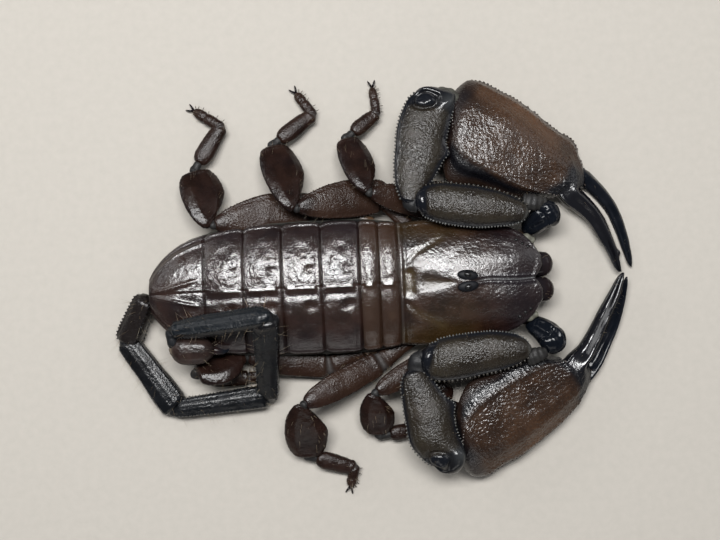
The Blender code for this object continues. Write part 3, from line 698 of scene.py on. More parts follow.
# a back plate: raised along its middle, rolled at its edges, wrinkled and pitted in patches, tucked in front
def makeTergite(number):
    d = trunk
    last = number == 7
    rearX, frontX = d["edges"][number] - (0 if last else d["overlap"]), d["edges"][number - 1]
    tucked = frontX + d["tuck"]
    u, r = gridOf(endDense(max(24, int((tucked - rearX) / gridStep)), 0.3),
                  2 * endDense(int(d["breadth"] / gridStep), 0.3) - 1)
    x = rearX + (tucked - rearX) * u
    middle, half = (rearX + frontX) / 2, (frontX - rearX) / 2
    corner = 0.0 if last else 0.4 * np.clip(np.abs(x - middle) / half, 0, 1.2) ** 5
    halfWidth = throughStops(d["halfWidth"], x) - corner
    y = r * halfWidth
    z = backHeight(x, r)
    place = np.stack([x, y, z], axis=-1)
    side, front, rear = (1 - np.abs(r)) * halfWidth, frontX - x, x - rearX
    wide = number > 2

    lift = collars(side, d["rimBands"])
    lift += (0.16 if wide else 0.26) * bell(x, middle, half * 0.7)
    inside = ease(front, 0.6, 1.3) * ease(rear, 0.1, 0.7)
    if wide and not last:
        lift -= 0.05 * (1 - ease(front, 1.0, 1.3)) * ease(front, 0.1, 0.5)
        lift += 0.07 * bell(y, 0, 0.3) * inside - 0.12 * bell(y, -0.95, 0.5) * inside
        lift -= 0.2 * bell(np.hypot(np.abs(y) - 2.5, (x - middle - 0.9) * 0.9), 0, 0.75)
        lift -= 0.12 * bell(np.hypot(np.abs(y) - 5.6, x - middle), 0, 1.0)
    elif last:
        share = ease(x, rearX, frontX)
        ridge = bell(np.abs(y), 0.35 + 1.5 * share, 0.3)
        lift += 0.2 * ridge * ease(front, 0.8, 2.0) * ease(rear, 0.4, 1.4)
        lift += 0.16 * bell(side, 1.15, 0.24) * ease(rear, 0.5, 2.0)
    else:
        lift += 0.1 * bell(y, 0, 0.3) * inside
    lift += 0.05 * noise(place, 2.2, 50 + number) + 0.03 * noise(place, 0.9, 60 + number)

    patch = ease(np.abs(y), 0.4, 0.9) * (1 - ease(np.abs(y), 4.0, 6.0)) * inside
    patch = patch * ease(noise(place, (1.3, 1.6, 2.0), 66 + number) + 0.8 * (y > 0), -0.2, 0.6)
    wrinkle = noise(place, (0.3, 0.5, 0.5), 70 + number)
    crumple = 1 - 2 * np.abs(noise(place, (0.55, 0.75, 0.8), 80 + number))
    pits, _ = pebbleDistances(place, 0.62, 90 + number)
    pit = np.clip(1 - (pits / 0.42) ** 2, 0, 1) * patch * ease(noise(place, 1.5, 88), -0.2, 0.5)
    fine = granules(place, 0.32, 95, 0.5)
    grainMask = (0.75 if last else 0.5) * inside * ease(side, 0.3, 0.8)
    lift += (0.15 + 0.85 * patch) * (0.028 * wrinkle + 0.028 * crumple) * inside - 0.06 * pit
    lift += 0.03 * fine * grainMask - 0.3 * ease(-front, -0.6, -0.2) - 0.5 * ease(-front, -0.15, 0.35)
    z = z + lift + edgeRoll(np.minimum(side, 1.5 * rear), 0.16, d["thick"])

    tone = (0.55 if not wide else -0.1 if last else 0.0) + 0.25 * noise(place, 2.6, 7)
    # darker towards the side edges, and darker in a strip along the groove right of the middle ridge: painted
    # shade in that groove
    tone = tone - 0.5 * ease(np.abs(y), 5.0, 8.0) * wide - 0.35 * bell(y, -1.2, 0.8) * wide
    tone = tone + 0.35 * patch * ease(noise(place, 1.4, 9), 0, 0.7)
    # relief is lowered in the pits, on the tucked front and along the rear seam: painted shade in the pits
    # and where the plates overlap
    relief = 0.75 + 0.25 * fine * grainMask - 0.7 * pit
    relief -= ease(-front, -0.5, -0.2) + 0.9 * bell(rear, 0.0, 0.34)
    polish = 0.3 * (1 - patch) + 0.3 * crumple * patch + 0.6 * bell(y, 0.12, 0.25)
    marks = marked(tone, np.clip(relief, 0.34, 1), np.maximum(polish, 0), 0.03 * bell(side, 0.2, 0.12))
    plate = plateUnder(x, y, z, d["thick"], marks)
    newPiece(f"backPlate{number}", [plate], "backShell", f"tergite_{number}")


# flesh between the plates: rounded boxes along the body, wider than the back plates at mid height
softSkin = {
    "rear": -35.2,
    "front": 17.4,
    "bulge": 0.1,
    "blend": (-1.5, 2.5),
    "shieldInset": 1.9,
    "shieldCrown": 6.6,
    "underCrown": 1.35,
    "rearRise": 0.45,
    "shieldLow": 2.1,
    "low": 0.12,
    "middle": 3.1,
    "shieldMiddle": 3.6,
    "flat": (-31.0, -7.0),
    "combRoom": 1.2,
    "power": 2.8,
    "plateEdges": (-7.4, -11.8, -16.6, -21.9, -27.3, -34.2),
}


# a boxed section of the body at each x, narrowed under the shield, flat below and lifted over the combs
def skinRings(x, angle, proud=0.0):
    d = softSkin
    inFront = ease(x, *d["blend"])
    shieldWidth = throughStops(headShield["halfWidth"], x / headShield["length"]) - d["shieldInset"]
    halfWidth = (throughStops(trunk["halfWidth"], x) + d["bulge"]) * (1 - inFront) + shieldWidth * inFront
    ends = np.clip(np.minimum((x - d["rear"]) / 1.2, (d["front"] - x) / 1.6), 0, 1)
    ends = np.sqrt(1 - (1 - ends) ** 2)
    crown = throughStops(trunk["crown"], x) * (1 - inFront) + d["shieldCrown"] * inFront - d["underCrown"]
    behind, ahead = np.maximum(0, d["flat"][0] - x), np.maximum(0, x - d["flat"][1])
    low = behind * d["rearRise"] + np.minimum(d["combRoom"], ahead)
    low = low * (1 - inFront) + d["shieldLow"] * inFront + d["low"]
    middle = np.minimum(d["middle"], (crown + low) / 2) * (1 - inFront) + d["shieldMiddle"] * inFront
    c, s = roundedBox(angle, d["power"])
    high = np.where(s > 0, crown - middle, middle - low)
    y = (halfWidth * ends + proud) * c
    z = middle + (high * np.maximum(ends, 0.02) + proud) * s
    return np.stack([x, y, np.maximum(z, 0)], -1), s


# the soft flanks, folded by a sine of height, and five belly plates with a pair of breathing slits each
def makeSkin():
    d = softSkin
    x, angle = gridOf(d["rear"] + (d["front"] - d["rear"]) * endDense(200, 0.15), onceRound(150))
    rings, height = skinRings(x, angle)
    flank = 1 - ease(np.abs(height), 0.55, 0.95)
    folds = np.sin(rings[..., 2] * 5.5 + 1.3 * noise(rings, (2.2, 2.2, 1.0), 5))
    pucker = noise(rings, (0.7, 0.7, 0.5), 6)
    rings[..., 1] += np.sign(rings[..., 1]) * flank * (0.1 * folds + 0.06 * pucker)
    # cooler on the flanks; paler on the fold crests and darker in the fold troughs: painted highlight and
    # shade on the folds
    marks = marked(-0.8 * flank, 0.6 + 0.4 * folds, 0.4 * flank, 0.3 * folds * flank)
    newPiece("bodySkin", [closedTube(rings, marks)], "jointSkin", "belly")

    plates = []
    u, v = gridOf(endDense(30, 0.4), endDense(90, 0.4))
    for front, rear in zip(d["plateEdges"], d["plateEdges"][1:]):
        x = rear + (front - 0.2 - rear) * u
        span = 62 + 14 * bell(u, 0.5, 0.5)
        angle = np.radians(270 - span + 2 * span * v)
        outer, _ = skinRings(x, angle, 0.12)
        inner, _ = skinRings(x, angle, -0.25)
        slit = bell(np.abs(v - 0.5), 0.33, 0.022) * bell(u, 0.5, 0.09)
        outer[..., 2] += 0.12 * slit
        tone = -0.7 * slit + 0.3 * noise(outer, 2.5, 15)
        marks = marked(tone, 1 - slit, 0.5, 0.4 * bell(u, 0.03, 0.04))
        plates.append(closedPlate(outer, inner, marks))
    newPiece("bellyPlates", plates, "underShell")


print("plates and skin defined")


# ends drawn in along a quarter round within this reach of each end
def roundEnds(t, length, reach):
    near = 1 - np.clip(np.minimum(t, 1 - t) * length / reach, 0.02, 1)
    return np.sqrt(1 - near * near)


# moves a surface along its outward normals by these heights, and keeps it off the floor
def raiseBy(rings, heights):
    moved = rings + outwardNormals(rings) * np.broadcast_to(heights, rings.shape[:2])[..., None]
    moved[..., 2] = np.maximum(moved[..., 2], raisedGap)
    return moved


# a straight limb between two joints: profile shares give its rings, and each end is cut at its halved bend
def limbGrid(joints, size, profile, roll, gaps, power, roundness, fine=1.0, lean=1.0):
    before, start, end, after = (None if p is None else np.array(p, float) for p in joints)
    length = np.linalg.norm(end - start)
    t = endDense(max(30, int(length / (gridStep * fine))), 0.5)
    columns = max(28, int(math.pi * (size[0] + size[1]) / 2 / (gridStep * fine)))
    profiled, cap = throughStops(profile, t), roundEnds(t, length, roundness)
    path = start + (end - start) * t[:, None]
    rings, angle = limbRings(path, size[0] / 2 * profiled * cap, size[1] / 2 * (0.45 + 0.55 * profiled) * cap,
                             columns, roll, power)
    rings = mitreEnds(rings, before, start, end, after, gaps, t, lean)
    return rings, angle, np.broadcast_to(t[:, None], angle.shape)


# a bent tube through stops (place, x, y, z, half width, half height)
def bentGrid(stops, power=2.2, fine=1.0, roundness=0.4, columns=None):
    stops = np.asarray(stops, float)
    length = np.linalg.norm(np.diff(stops[:, 1:4], axis=0), axis=1).sum()
    t = endDense(max(24, int(length / (gridStep * fine))), 0.4)
    found = throughStops(stops, t)
    cap = roundEnds(t, length, roundness)
    columns = columns or max(20, int(math.pi * (stops[:, 4].max() + stops[:, 5].max()) / (gridStep * fine)))
    rings, angle = limbRings(found[:, :3], found[:, 3] * cap, found[:, 4] * cap, columns, 0, power)
    return rings, angle, np.broadcast_to(t[:, None], angle.shape)


# the same through evenly spaced points, each with its half width and half height
def bentTube(points, sizes, **shape):
    t = np.linspace(0, 1, len(points))
    return bentGrid([(u, *p, *s) for u, p, s in zip(t, points, sizes)], **shape)


# the line on a grid nearest to this angle, with its normals, between two shares of the length
def lineAt(rings, angle, degrees, low, high):
    column = int(np.argmin(np.abs(angleGap(angle[0], degrees))))
    rows = slice(int(len(rings) * low), max(int(len(rings) * high), int(len(rings) * low) + 3))
    return rings[rows, column], outwardNormals(rings)[rows, column]


# studs along such a line, one for each pitch, a little uneven in size and place and some left out; a given
# paleness is a painted glint on them
def studsAt(rings, angle, degrees, pitch, radius, height, low, high, seed, skip=0.0, pale=0.0):
    line, normals = lineAt(rings, angle, degrees, low, high)
    length = np.concatenate([[0], np.cumsum(np.linalg.norm(np.diff(line, axis=0), axis=1))])
    count = max(2, int(length[-1] / pitch))
    number, zero, one = np.arange(count), np.zeros(count), np.ones(count)
    chance = cellRandom(np.stack([number, zero, zero], 1), seed + 11)
    at = (number + 0.5) * length[-1] / count + (chance - 0.5) * pitch * 0.25
    keep = cellRandom(np.stack([number, one, zero], 1), seed + 5) >= skip
    at, size = at[keep], (0.8 + 0.4 * chance)[keep]
    place = np.stack([np.interp(at, length, line[:, k]) for k in range(3)], 1)
    normal = unit(np.stack([np.interp(at, length, normals[:, k]) for k in range(3)], 1))
    ahead = unit(np.stack([np.interp(at, length, np.gradient(line[:, k], length)) for k in range(3)], 1))
    side = unit(np.cross(normal, ahead))
    axes = np.stack([ahead * (radius * size)[:, None], side * (radius * size)[:, None],
                     normal * (height * size)[:, None]], axis=1)
    return scatterCopies(studShape(), place, axes, marked(relief=0.8, polish=0.9, pale=pale))


# a tube with its marks, and rows of studs along it
def studded(rings, angle, marks, rows):
    return [closedTube(rings, marks)] + [studsAt(rings, angle, *row) for row in rows]


hairSources = []
jointSkins = []


# asks for hairs on a surface by count, length, from and to along it, thickness and lean; made at the end
def growHair(rings, seed, *row):
    hairSources.append((rings, seed, *row))


# soft skin between two hard parts: a short tube with cross folds
def addJointSkin(points, sizes, folds, tone, pale=0.0):
    rings, _, t = bentTube(points, sizes, fine=1.2)
    wave = np.sin(t * folds * math.pi + 1.5 * noise(rings, 0.9, 3))
    rings = raiseBy(rings, 0.05 * wave + 0.05 * noise(rings, 0.5, 4))
    # the troughs darker through low relief, and the given paleness stronger on the crests: painted shade and
    # highlight on the folds, over the skin's own paleness
    marks = marked(tone, 0.6 + 0.4 * wave, 0.5, pale + 0.3 * wave * pale)
    jointSkins.append(closedTube(rings, marks))


# places are for the left side, sizes half widths and half heights
mouthparts = {
    "hair": (26, 0.9, 0.5, 0.97, 0.02, 0.9),
    "body": ((15.2, 1.75, 3.5), (17.2, 1.8, 3.8), (19.2, 1.8, 4.0), (21.4, 1.7, 3.8)),
    "bodySizes": ((1.2, 0.9), (1.6, 1.2), (1.78, 1.6), (1.5, 1.35)),
    "fang": ((19.9, 0.7, 3.0), (20.8, 0.95, 2.7), (21.3, 0.8, 2.2), (21.4, 0.4, 1.7)),
    "fangSizes": ((0.5, 0.55), (0.42, 0.5), (0.3, 0.35), (0.1, 0.12)),
    "fangShifts": ((0.75, 0.15), (1.25, -0.1)),
}


# a rounded base and two curved fangs on each side
def makeMouthparts():
    d = mouthparts
    for side, word in bothSides:
        rings, _, t = bentTube([(x, side * y, z) for x, y, z in d["body"]], d["bodySizes"], power=2.3,
                               roundness=1.1)
        rings = raiseBy(rings, 0.04 * noise(rings, 0.8, 12) + 0.015 * granules(rings, 0.3, 13))
        surfaces = [closedTube(rings, marked(-0.4 + 0.8 * t, 0.9, 0.9))]
        for outwards, lift in d["fangShifts"]:
            path = [(x, side * (y + outwards), z + lift) for x, y, z in d["fang"]]
            fang, _, u = bentTube(path, d["fangSizes"], roundness=0.15, fine=0.7)
            surfaces.append(closedTube(fang, marked(0.5 - 1.5 * u, 0.9, 1)))
        newPiece(f"chelicera{word}", surfaces, "fingerShell", f"chelicera_{word.lower()}", slot="shell")
        growHair(rings, 17 + side, *d["hair"])


# hip, trochanter, knee, ankle, wrist and toe of each leg
legJoints = {
    ("left", 1): ((12.2, 6.4, 2.4), (11.0, 9.2, 2.3), (5.0, 13.9, 2.2), (3.4, 19.6, 1.9),
                  (7.0, 22.4, 1.2), (10.0, 23.4, 0.34)),
    ("left", 2): ((7.6, 7.1, 2.6), (4.8, 10.2, 2.9), (-3.7, 12.8, 6.2), (-6.6, 20.8, 2.4),
                  (-2.2, 24.3, 1.2), (-2.6, 28.1, 0.34)),
    ("left", 3): ((1.6, 7.8, 2.5), (-1.7, 11.9, 2.3), (-13.9, 11.1, 5.9), (-17.1, 20.3, 2.3),
                  (-11.3, 24.6, 1.2), (-13.5, 27.8, 0.34)),
    ("left", 4): ((-5.4, 9.3, 1.9), (-11.8, 10.2, 1.6), (-25.7, 9.4, 4.6), (-28.3, 17.3, 2.1),
                  (-24.4, 23.4, 1.2), (-28.2, 26.0, 0.34)),
    ("right", 1): ((12.2, -6.4, 2.4), (10.6, -9.3, 2.4), (4.9, -13.2, 2.4), (5.0, -17.6, 2.0),
                   (9.4, -18.6, 1.2), (12.2, -17.6, 0.34)),
    ("right", 2): ((7.6, -7.1, 2.6), (4.6, -10.2, 2.7), (-4.2, -15.0, 5.1), (-4.1, -21.2, 1.6),
                   (1.4, -20.8, 1.0), (3.8, -21.2, 0.34)),
    ("right", 3): ((1.6, -7.8, 2.5), (-3.3, -10.9, 2.7), (-14.2, -16.0, 6.4), (-14.2, -23.8, 1.7),
                   (-7.7, -26.0, 1.0), (-8.4, -28.6, 0.34)),
    ("right", 4): ((-5.4, -9.3, 1.9), (-10.6, -11.1, 1.5), (-22.0, -9.4, 2.7), (-29.2, -10.9, 4.2),
                   (-22.0, -12.4, 0.95), (-19.0, -11.9, 0.34)),
}


# inner ends and half widths are those of legs 1 to 4; breastplate parts are (x, y, half length, half width)
hips = {
    "inner": ((9.6, 1.0), (7.4, 1.1), (4.6, 1.9), (1.6, 1.6)),
    "wide": (1.6, 1.5, 1.5, 1.7),
    "armBase": ((11.5, 1.1, 1.9), (14.0, 2.6, 2.1), (16.4, 4.2, 2.4), (18.2, 5.8, 3.0)),
    "armBaseSizes": ((1.4, 1.0), (1.9, 1.2), (2.0, 1.3), (1.5, 1.2)),
    "armSkin": ((16.6, 5.6, 4.6), (17.8, 5.5, 4.7), (18.9, 5.0, 4.5)),
    "armSkinSizes": ((0.5, 0.5), (0.6, 0.55), (0.45, 0.5)),
    "breastplate": ((5.6, 0, 1.5, 1.0), (2.2, 0.75, 1.1, 0.8), (2.2, -0.75, 1.1, 0.8),
                    (-0.6, 0, 0.7, 1.3)),
}


# hip pieces fanned out under the head, and low domes for the breastplate and the plates behind it
def makeHips():
    d = hips
    surfaces = []
    for (word, number), joints in legJoints.items():
        side = 1 if word == "left" else -1
        hip = np.array(joints[0])
        x, y = d["inner"][number - 1]
        inner, wide = np.array([x, side * y, 1.75]), d["wide"][number - 1]
        path = [inner, inner * 0.55 + hip * 0.45, inner * 0.15 + hip * 0.85, hip * 1.04 - inner * 0.04]
        sizes = [(wide * 0.7, 0.8), (wide, 0.95), (wide * 0.95, 0.95), (wide * 0.75, 0.85)]
        rings, angle, t = bentTube(path, sizes, power=2.8, fine=1.4)
        keels = 0.08 * bell(np.abs(angleGap(angle, 270)), 40, 14)
        rings = raiseBy(rings, keels + 0.03 * noise(rings, 0.8, 3))
        surfaces.append(closedTube(rings, marked(0.2 * noise(rings, 2, 5) - 0.4 * t, 0.8, 0.4)))
    for side, _ in bothSides:
        path = [(x, side * y, z) for x, y, z in d["armBase"]]
        rings, angle, t = bentTube(path, d["armBaseSizes"], power=2.6, fine=1.3)
        rings = raiseBy(rings, 0.05 * granules(rings, 0.5, 9) + 0.05 * noise(rings, 0.9, 3))
        surfaces.append(closedTube(rings, marked(-0.8 * t, 0.8, 0.3)))
    for x, y, long, across in d["breastplate"]:
        surfaces.append(dome((x, y, 1.35), (long, across, -0.6), 12, 28, marks=marked(0.2, 0.8, 0.6)))
    newPiece("hipPlates", surfaces, "underShell", "hips")


# the shaft's places are for the left side; the tooth's stops are (place, x, y, z, half width, half height)
combs = {
    "tooth": ((0, 0, 0, 0, 0.13, 0.11), (0.6, 0.75, 0, -0.04, 0.16, 0.12), (1, 1.25, 0, -0.1, 0.1, 0.08)),
    "teeth": 17,
    "shaft": ((-1.3, 0.75, 0.6), (-2.5, 3.2, 0.6), (-4.2, 5.5, 0.6)),
    "shaftSizes": ((0.5, 0.26), (0.6, 0.3), (0.32, 0.2)),
}


# a shaft ridged by a sine on each side, with a row of teeth that shorten towards its tip
def makeCombs():
    d = combs
    tooth, _, _ = bentGrid(d["tooth"], columns=8, fine=2.6, roundness=0.2)
    tooth = closedTube(tooth[::3])
    for side, word in bothSides:
        path = [(x, side * y, z) for x, y, z in d["shaft"]]
        rings, _, t = bentTube(path, d["shaftSizes"], power=2.6)
        rings = raiseBy(rings, 0.04 * np.sin(t * 40))
        u = np.linspace(0.06, 0.95, d["teeth"])
        place = np.stack([np.interp(u, np.linspace(0, 1, 3), [p[k] for p in path]) for k in range(3)], 1)
        place[:, 0] -= 0.25
        ahead = unit(np.array([-0.93, -0.1 * side, -0.05]) - u[:, None] * np.array([0, 0.25 * side, 0]))
        across = unit(np.cross(up, ahead))
        axes = np.stack([ahead, across, np.cross(ahead, across)], 1) * (1.0 - 0.25 * u)[:, None, None]
        teeth = scatterCopies(tooth, place, axes, marked(0.5, 0.9, 0.6, 0.3))
        shaft = closedTube(rings, marked(0.2, 0.8, 0.4))
        newPiece(f"comb{word}", [shaft, teeth], "underShell", f"comb_{word.lower()}")


tail = {
    "bulbSkin": ((0.7, 0.7), (0.75, 0.7), (0.75, 0.7), (0.7, 0.7)),
    "bulbHair": (40, 1.6, 0.05, 0.95, 0.02, 0.3),
    "hair": (50, 2.2, 0.08, 0.95, 0.018, 0.35),
    "root": (-34.4, 0.9, 3.8),
    "joints": ((-35.5, 0.4, 3.2), (-39.0, -6.5, 1.5), (-32.5, -16.2, 1.38), (-19.4, -15.0, 1.75),
               (-18.6, -3.5, 11.3), (-32.2, -5.0, 7.4)),
    "heights": (3.5, 3.9, 3.1, 3.5, 3.0),
    "widths": (3.2, 2.9, 2.8, 2.7, 2.4),
    "rolls": (18, 0, 0, 0, 25),
    "gaps": ((0.3, -0.3), (-0.9, -0.3), (-0.9, -0.3), (-0.9, -0.3), (-0.9, 0.0)),
    "profiles": (((0, 0.7), (0.1, 0.86), (0.5, 0.98), (0.88, 1.06), (1, 0.8)),) * 4
    + (((0, 0.8), (0.12, 0.98), (0.5, 1.0), (0.75, 0.92), (0.92, 0.68), (1, 0.5)),),
    "tones": (0.55, 0.0, -0.05, 0.0, -0.85),
    "keels": (38, -38, 142, 218),
    "ridges": ((0.15, 38, 8), (0.15, -38, 8), (0.13, 142, 8), (0.13, 218, 8), (0.04, 78, 8), (0.04, 102, 8),
               (-0.05, 90, 26), (-0.07, 0, 22)),
    "collars": ((0.16, 0.925, 0.03), (-0.12, 0.975, 0.016), (-0.1, 0.06, 0.02)),
    "bulb": ((-32.4, -7.6, 6.6), (-25.9, -7.9, 6.3)),
    "bulbSize": (4.2, 3.0),
    "bulbProfile": ((0, 0.55), (0.15, 0.86), (0.45, 1), (0.75, 0.86), (0.93, 0.55), (1, 0.38)),
    "bulbCreases": ((1, 90, 7), (1, 42, 6), (1, 138, 6)),
    "sting": ((-26.6, -7.9, 6.3), (-25.7, -8.1, 6.3), (-25.0, -8.2, 6.2), (-24.5, -8.1, 6.1),
              (-24.1, -7.8, 6.0)),
    "stingSizes": ((0.66, 0.62), (0.52, 0.5), (0.36, 0.36), (0.2, 0.2), (0.03, 0.03)),
}


# five ridged lengths, the bulb and the sting, each end cut at the halved bend of its joint
def makeTail():
    d = tail
    joints = [np.array(p) for p in (d["root"], *d["joints"])] + [None]
    for i in range(5):
        size = (d["heights"][i], d["widths"][i])
        rings, angle, t = limbGrid(joints[i:i + 4], size, d["profiles"][i], d["rolls"][i], d["gaps"][i],
                                   2.1, 1.4, lean=0.35)
        body = band(t, 0.03, 0.14, 0.86, 0.95)
        fine = granules(rings, 0.3, 101 + i, 0.5)
        lift = (ridges(angle, d["ridges"]) + 0.03 * fine) * body + collars(t, d["collars"])
        rings = raiseBy(rings, lift + 0.05 * noise(rings, 1.8, 102) + 0.012 * noise(rings, 0.6, 103))
        # relief dips in the groove just before each joint, which paints shade there
        marks = marked(d["tones"][i] + 0.2 * noise(rings, 2.4, 104),
                       0.7 + 0.3 * fine * body - 0.7 * bell(t, 0.975, 0.016),
                       0.5 * bell(t, 0.93, 0.05) + 0.2, 0.25 * bell(t, 0.99, 0.012))
        studs = [(keel, 0.5, 0.14, 0.15, 0.1, 0.9, 7 * n + i) for n, keel in enumerate(d["keels"])]
        newPiece(f"tailLength{i + 1}", studded(rings, angle, marks, studs), "tailShell", f"tail_{i + 1}")
        growHair(rings, 300 + i, *d["hair"])
        if i < 4:
            last, joint, following = joints[i + 1:i + 4]
            addJointSkin([joint - unit(joint - last) * 0.7, joint, joint + unit(following - joint) * 0.7],
                         [(size[0] * 0.32, size[1] * 0.32)] * 3, 7, tone=-1.0)

    start, end = (np.array(p) for p in d["bulb"])
    rings, angle, t = limbGrid((None, start, end, None), d["bulbSize"], d["bulbProfile"], 0, (0, 0),
                               2.0, 1.8, 0.8)
    creases = ridges(angle, d["bulbCreases"]) * band(t, 0.05, 0.2, 0.8, 0.95)
    lift = -0.02 * creases + 0.04 * noise(rings, (2.6, 0.5, 0.7), 120) + 0.02 * granules(rings, 0.4, 121)
    rings = raiseBy(rings, lift)
    marks = marked(0.2 * noise(rings, 1.5, 122) - 0.5 * ease(t, 0.8, 1.0), 1 - 0.5 * creases, 0.3,
                   0.6 * bell(t, 0.03, 0.03))
    newPiece("venomBulb", [closedTube(rings, marks)], "bulbShell", "vesicle")
    growHair(rings, 320, *d["bulbHair"])
    wrist = joints[6]
    addJointSkin([wrist + (0.8, 0.2, 0), wrist + (0.2, -0.5, -0.3), start + (0.9, 0.3, 0.1),
                  start + (1.6, 0, 0)], d["bulbSkin"], 9, tone=-1.0)

    rings, angle, t = bentTube(d["sting"], d["stingSizes"], fine=0.6, roundness=0.1)
    newPiece("sting", [closedTube(rings, marked(0.6 - 1.2 * t, 0.9, 0.8))], "fingerShell", "sting")


# femur stations are (x, y, half width) from the hip on; patella stations (share, width share, offset inwards)
arms = {
    "left": {
        "side": 1,
        "hip": ((17.6, 6.4, 3.1), (19.3, 7.7, 4.2), (20.9, 8.7, 5.1), (22.3, 9.5, 5.7)),
        "femur": ((18.0, 8.7, 0.8), (16.7, 9.1, 1.5), (14.0, 9.6, 2.2), (11.4, 10.0, 2.6), (8.7, 10.4, 2.7),
                  (5.9, 10.9, 2.55), (3.9, 11.1, 2.0), (2.2, 10.9, 1.1)),
        "patella": ((1.9, 11.9, 6.8), (5.7, 26.1, 4.3)), "patellaWidth": 6.8, "spurAt": 0.48, "browAt": 150,
        "patellaProfile": ((0, 0.29, -0.1), (0.075, 0.47, -0.15), (0.19, 0.67, -0.25), (0.305, 0.85, -0.2),
                           (0.42, 0.96, -0.1), (0.615, 1.0, -0.35), (0.81, 0.94, -0.1), (0.93, 0.84, 0.5),
                           (1, 0.7, 0.95)),
        "hand": (8.7, 24.6, 3.9), "yaw": -35.3, "pitch": -5.5, "roll": 23, "shut": 0, "drop": 0,
        "spread": (1.0, 1.0), "wall": ((4.6, 4.6, 3.4), (2.0, 11.5, 4.0)), "wide": 1.0, "bow": 1.2,
        "roof": 0.45, "rough": 0.25, "ramp": 0.0, "shelf": 0.5,
        "hipSkin": ((17.3, 10.5, 6.1), (18.9, 10.3, 6.2), (20.8, 10.2, 5.7)),
        "wristSkin": ((5.4, 26.0, 4.4), (7.2, 26.4, 4.4), (8.7, 25.7, 4.3), (8.8, 23.9, 4.2)),
    },
    "right": {
        "side": -1,
        "hip": ((17.4, -6.3, 3.1), (19.2, -7.2, 4.2), (20.6, -8.6, 5.1), (20.8, -10.7, 5.7)),
        "femur": ((17.5, -9.7, 0.8), (16.4, -9.75, 1.55), (14.6, -9.75, 2.15), (12.4, -9.85, 2.6),
                  (10.0, -10.1, 2.8), (7.2, -10.45, 2.9), (4.6, -10.7, 2.7), (3.3, -10.4, 2.0),
                  (2.0, -10.0, 1.0)),
        "patella": ((1.4, -12.9, 6.7), (4.6, -24.9, 5.5)), "patellaWidth": 6.4, "spurAt": 0.43, "browAt": 138,
        "patellaProfile": ((0, 0.34, -0.2), (0.087, 0.55, -0.25), (0.275, 0.8, -0.1), (0.456, 0.98, 0.1),
                           (0.664, 0.93, -0.2), (0.81, 0.8, 0.3), (0.916, 0.64, 0.85), (1, 0.4, 1.1)),
        "hand": (7.6, -24.2, 4.6), "yaw": 31.3, "pitch": -6, "roll": 31, "shut": 4, "drop": 0.9,
        "spread": (-1.0, 0.1), "wall": ((3.2, 5.5, 4.5), (2.7, 13.0, 4.5)), "wide": 0.94, "bow": 0.0,
        "roof": 1.0, "rough": 0.75, "ramp": 1.0, "shelf": 0.9,
        "hipSkin": ((16.8, -11.2, 6.1), (18.2, -10.8, 6.1), (19.8, -10.4, 5.7)),
        "wristSkin": ((5.8, -24.6, 4.9), (6.6, -24.6, 4.9), (7.3, -24.3, 4.8), (7.8, -23.9, 4.8)),
    },
}
# rows of studs: angle, pitch, radius, height, from and to along the length, seed, share left out, paleness (a
# painted glint on each stud)
armHip = {
    "skinSizes": ((1.2, 0.8), (1.1, 0.65), (0.7, 0.45)),
    "sizes": ((1.2, 0.9), (1.6, 1.3), (1.95, 1.6), (1.6, 1.3)),
    "ridges": ((0.22, 128, 11), (0.22, 90, 9), (0.22, 52, 11)),
    "studs": ((52, 0.5, 0.12, 0.12, 0.3, 0.85, 3), (128, 0.5, 0.12, 0.12, 0.3, 0.85, 4)),
}
armFemur = {
    "hair": (26, 1.0, 0.1, 0.9, 0.018, 0.3),
    "rise": (6.8, 7.0),
    "thick": 3.7,
    "keels": (17, 163),
    "studs": ((0.42, 0.15, 0.2, 0.04, 0.92, 11, 0, 0.3), (0.6, 0.22, 0.3, 0.05, 0.9, 12, 0, 0.06),
              (0.5, 0.13, 0.15, 0.08, 0.86, 13)),
}
armPatella = {
    "skinSizes": ((1.2, 1.0), (1.4, 1.0), (1.2, 0.9)),
    "hair": (26, 1.0, 0.1, 0.9, 0.018, 0.3),
    "thick": 3.7,
    "reach": (1.3, 1.2),
    "power": 2.4,
    "spur": 1.1,
    "keels": (20, 160),
    "studs": ((20, 0.48, 0.16, 0.2, 0.06, 0.8, 21, 0, 0.22), (160, 0.5, 0.18, 0.24, 0.05, 0.88, 22, 0, 0.18),
              (180, 0.5, 0.12, 0.14, 0.08, 0.84, 23)),
}
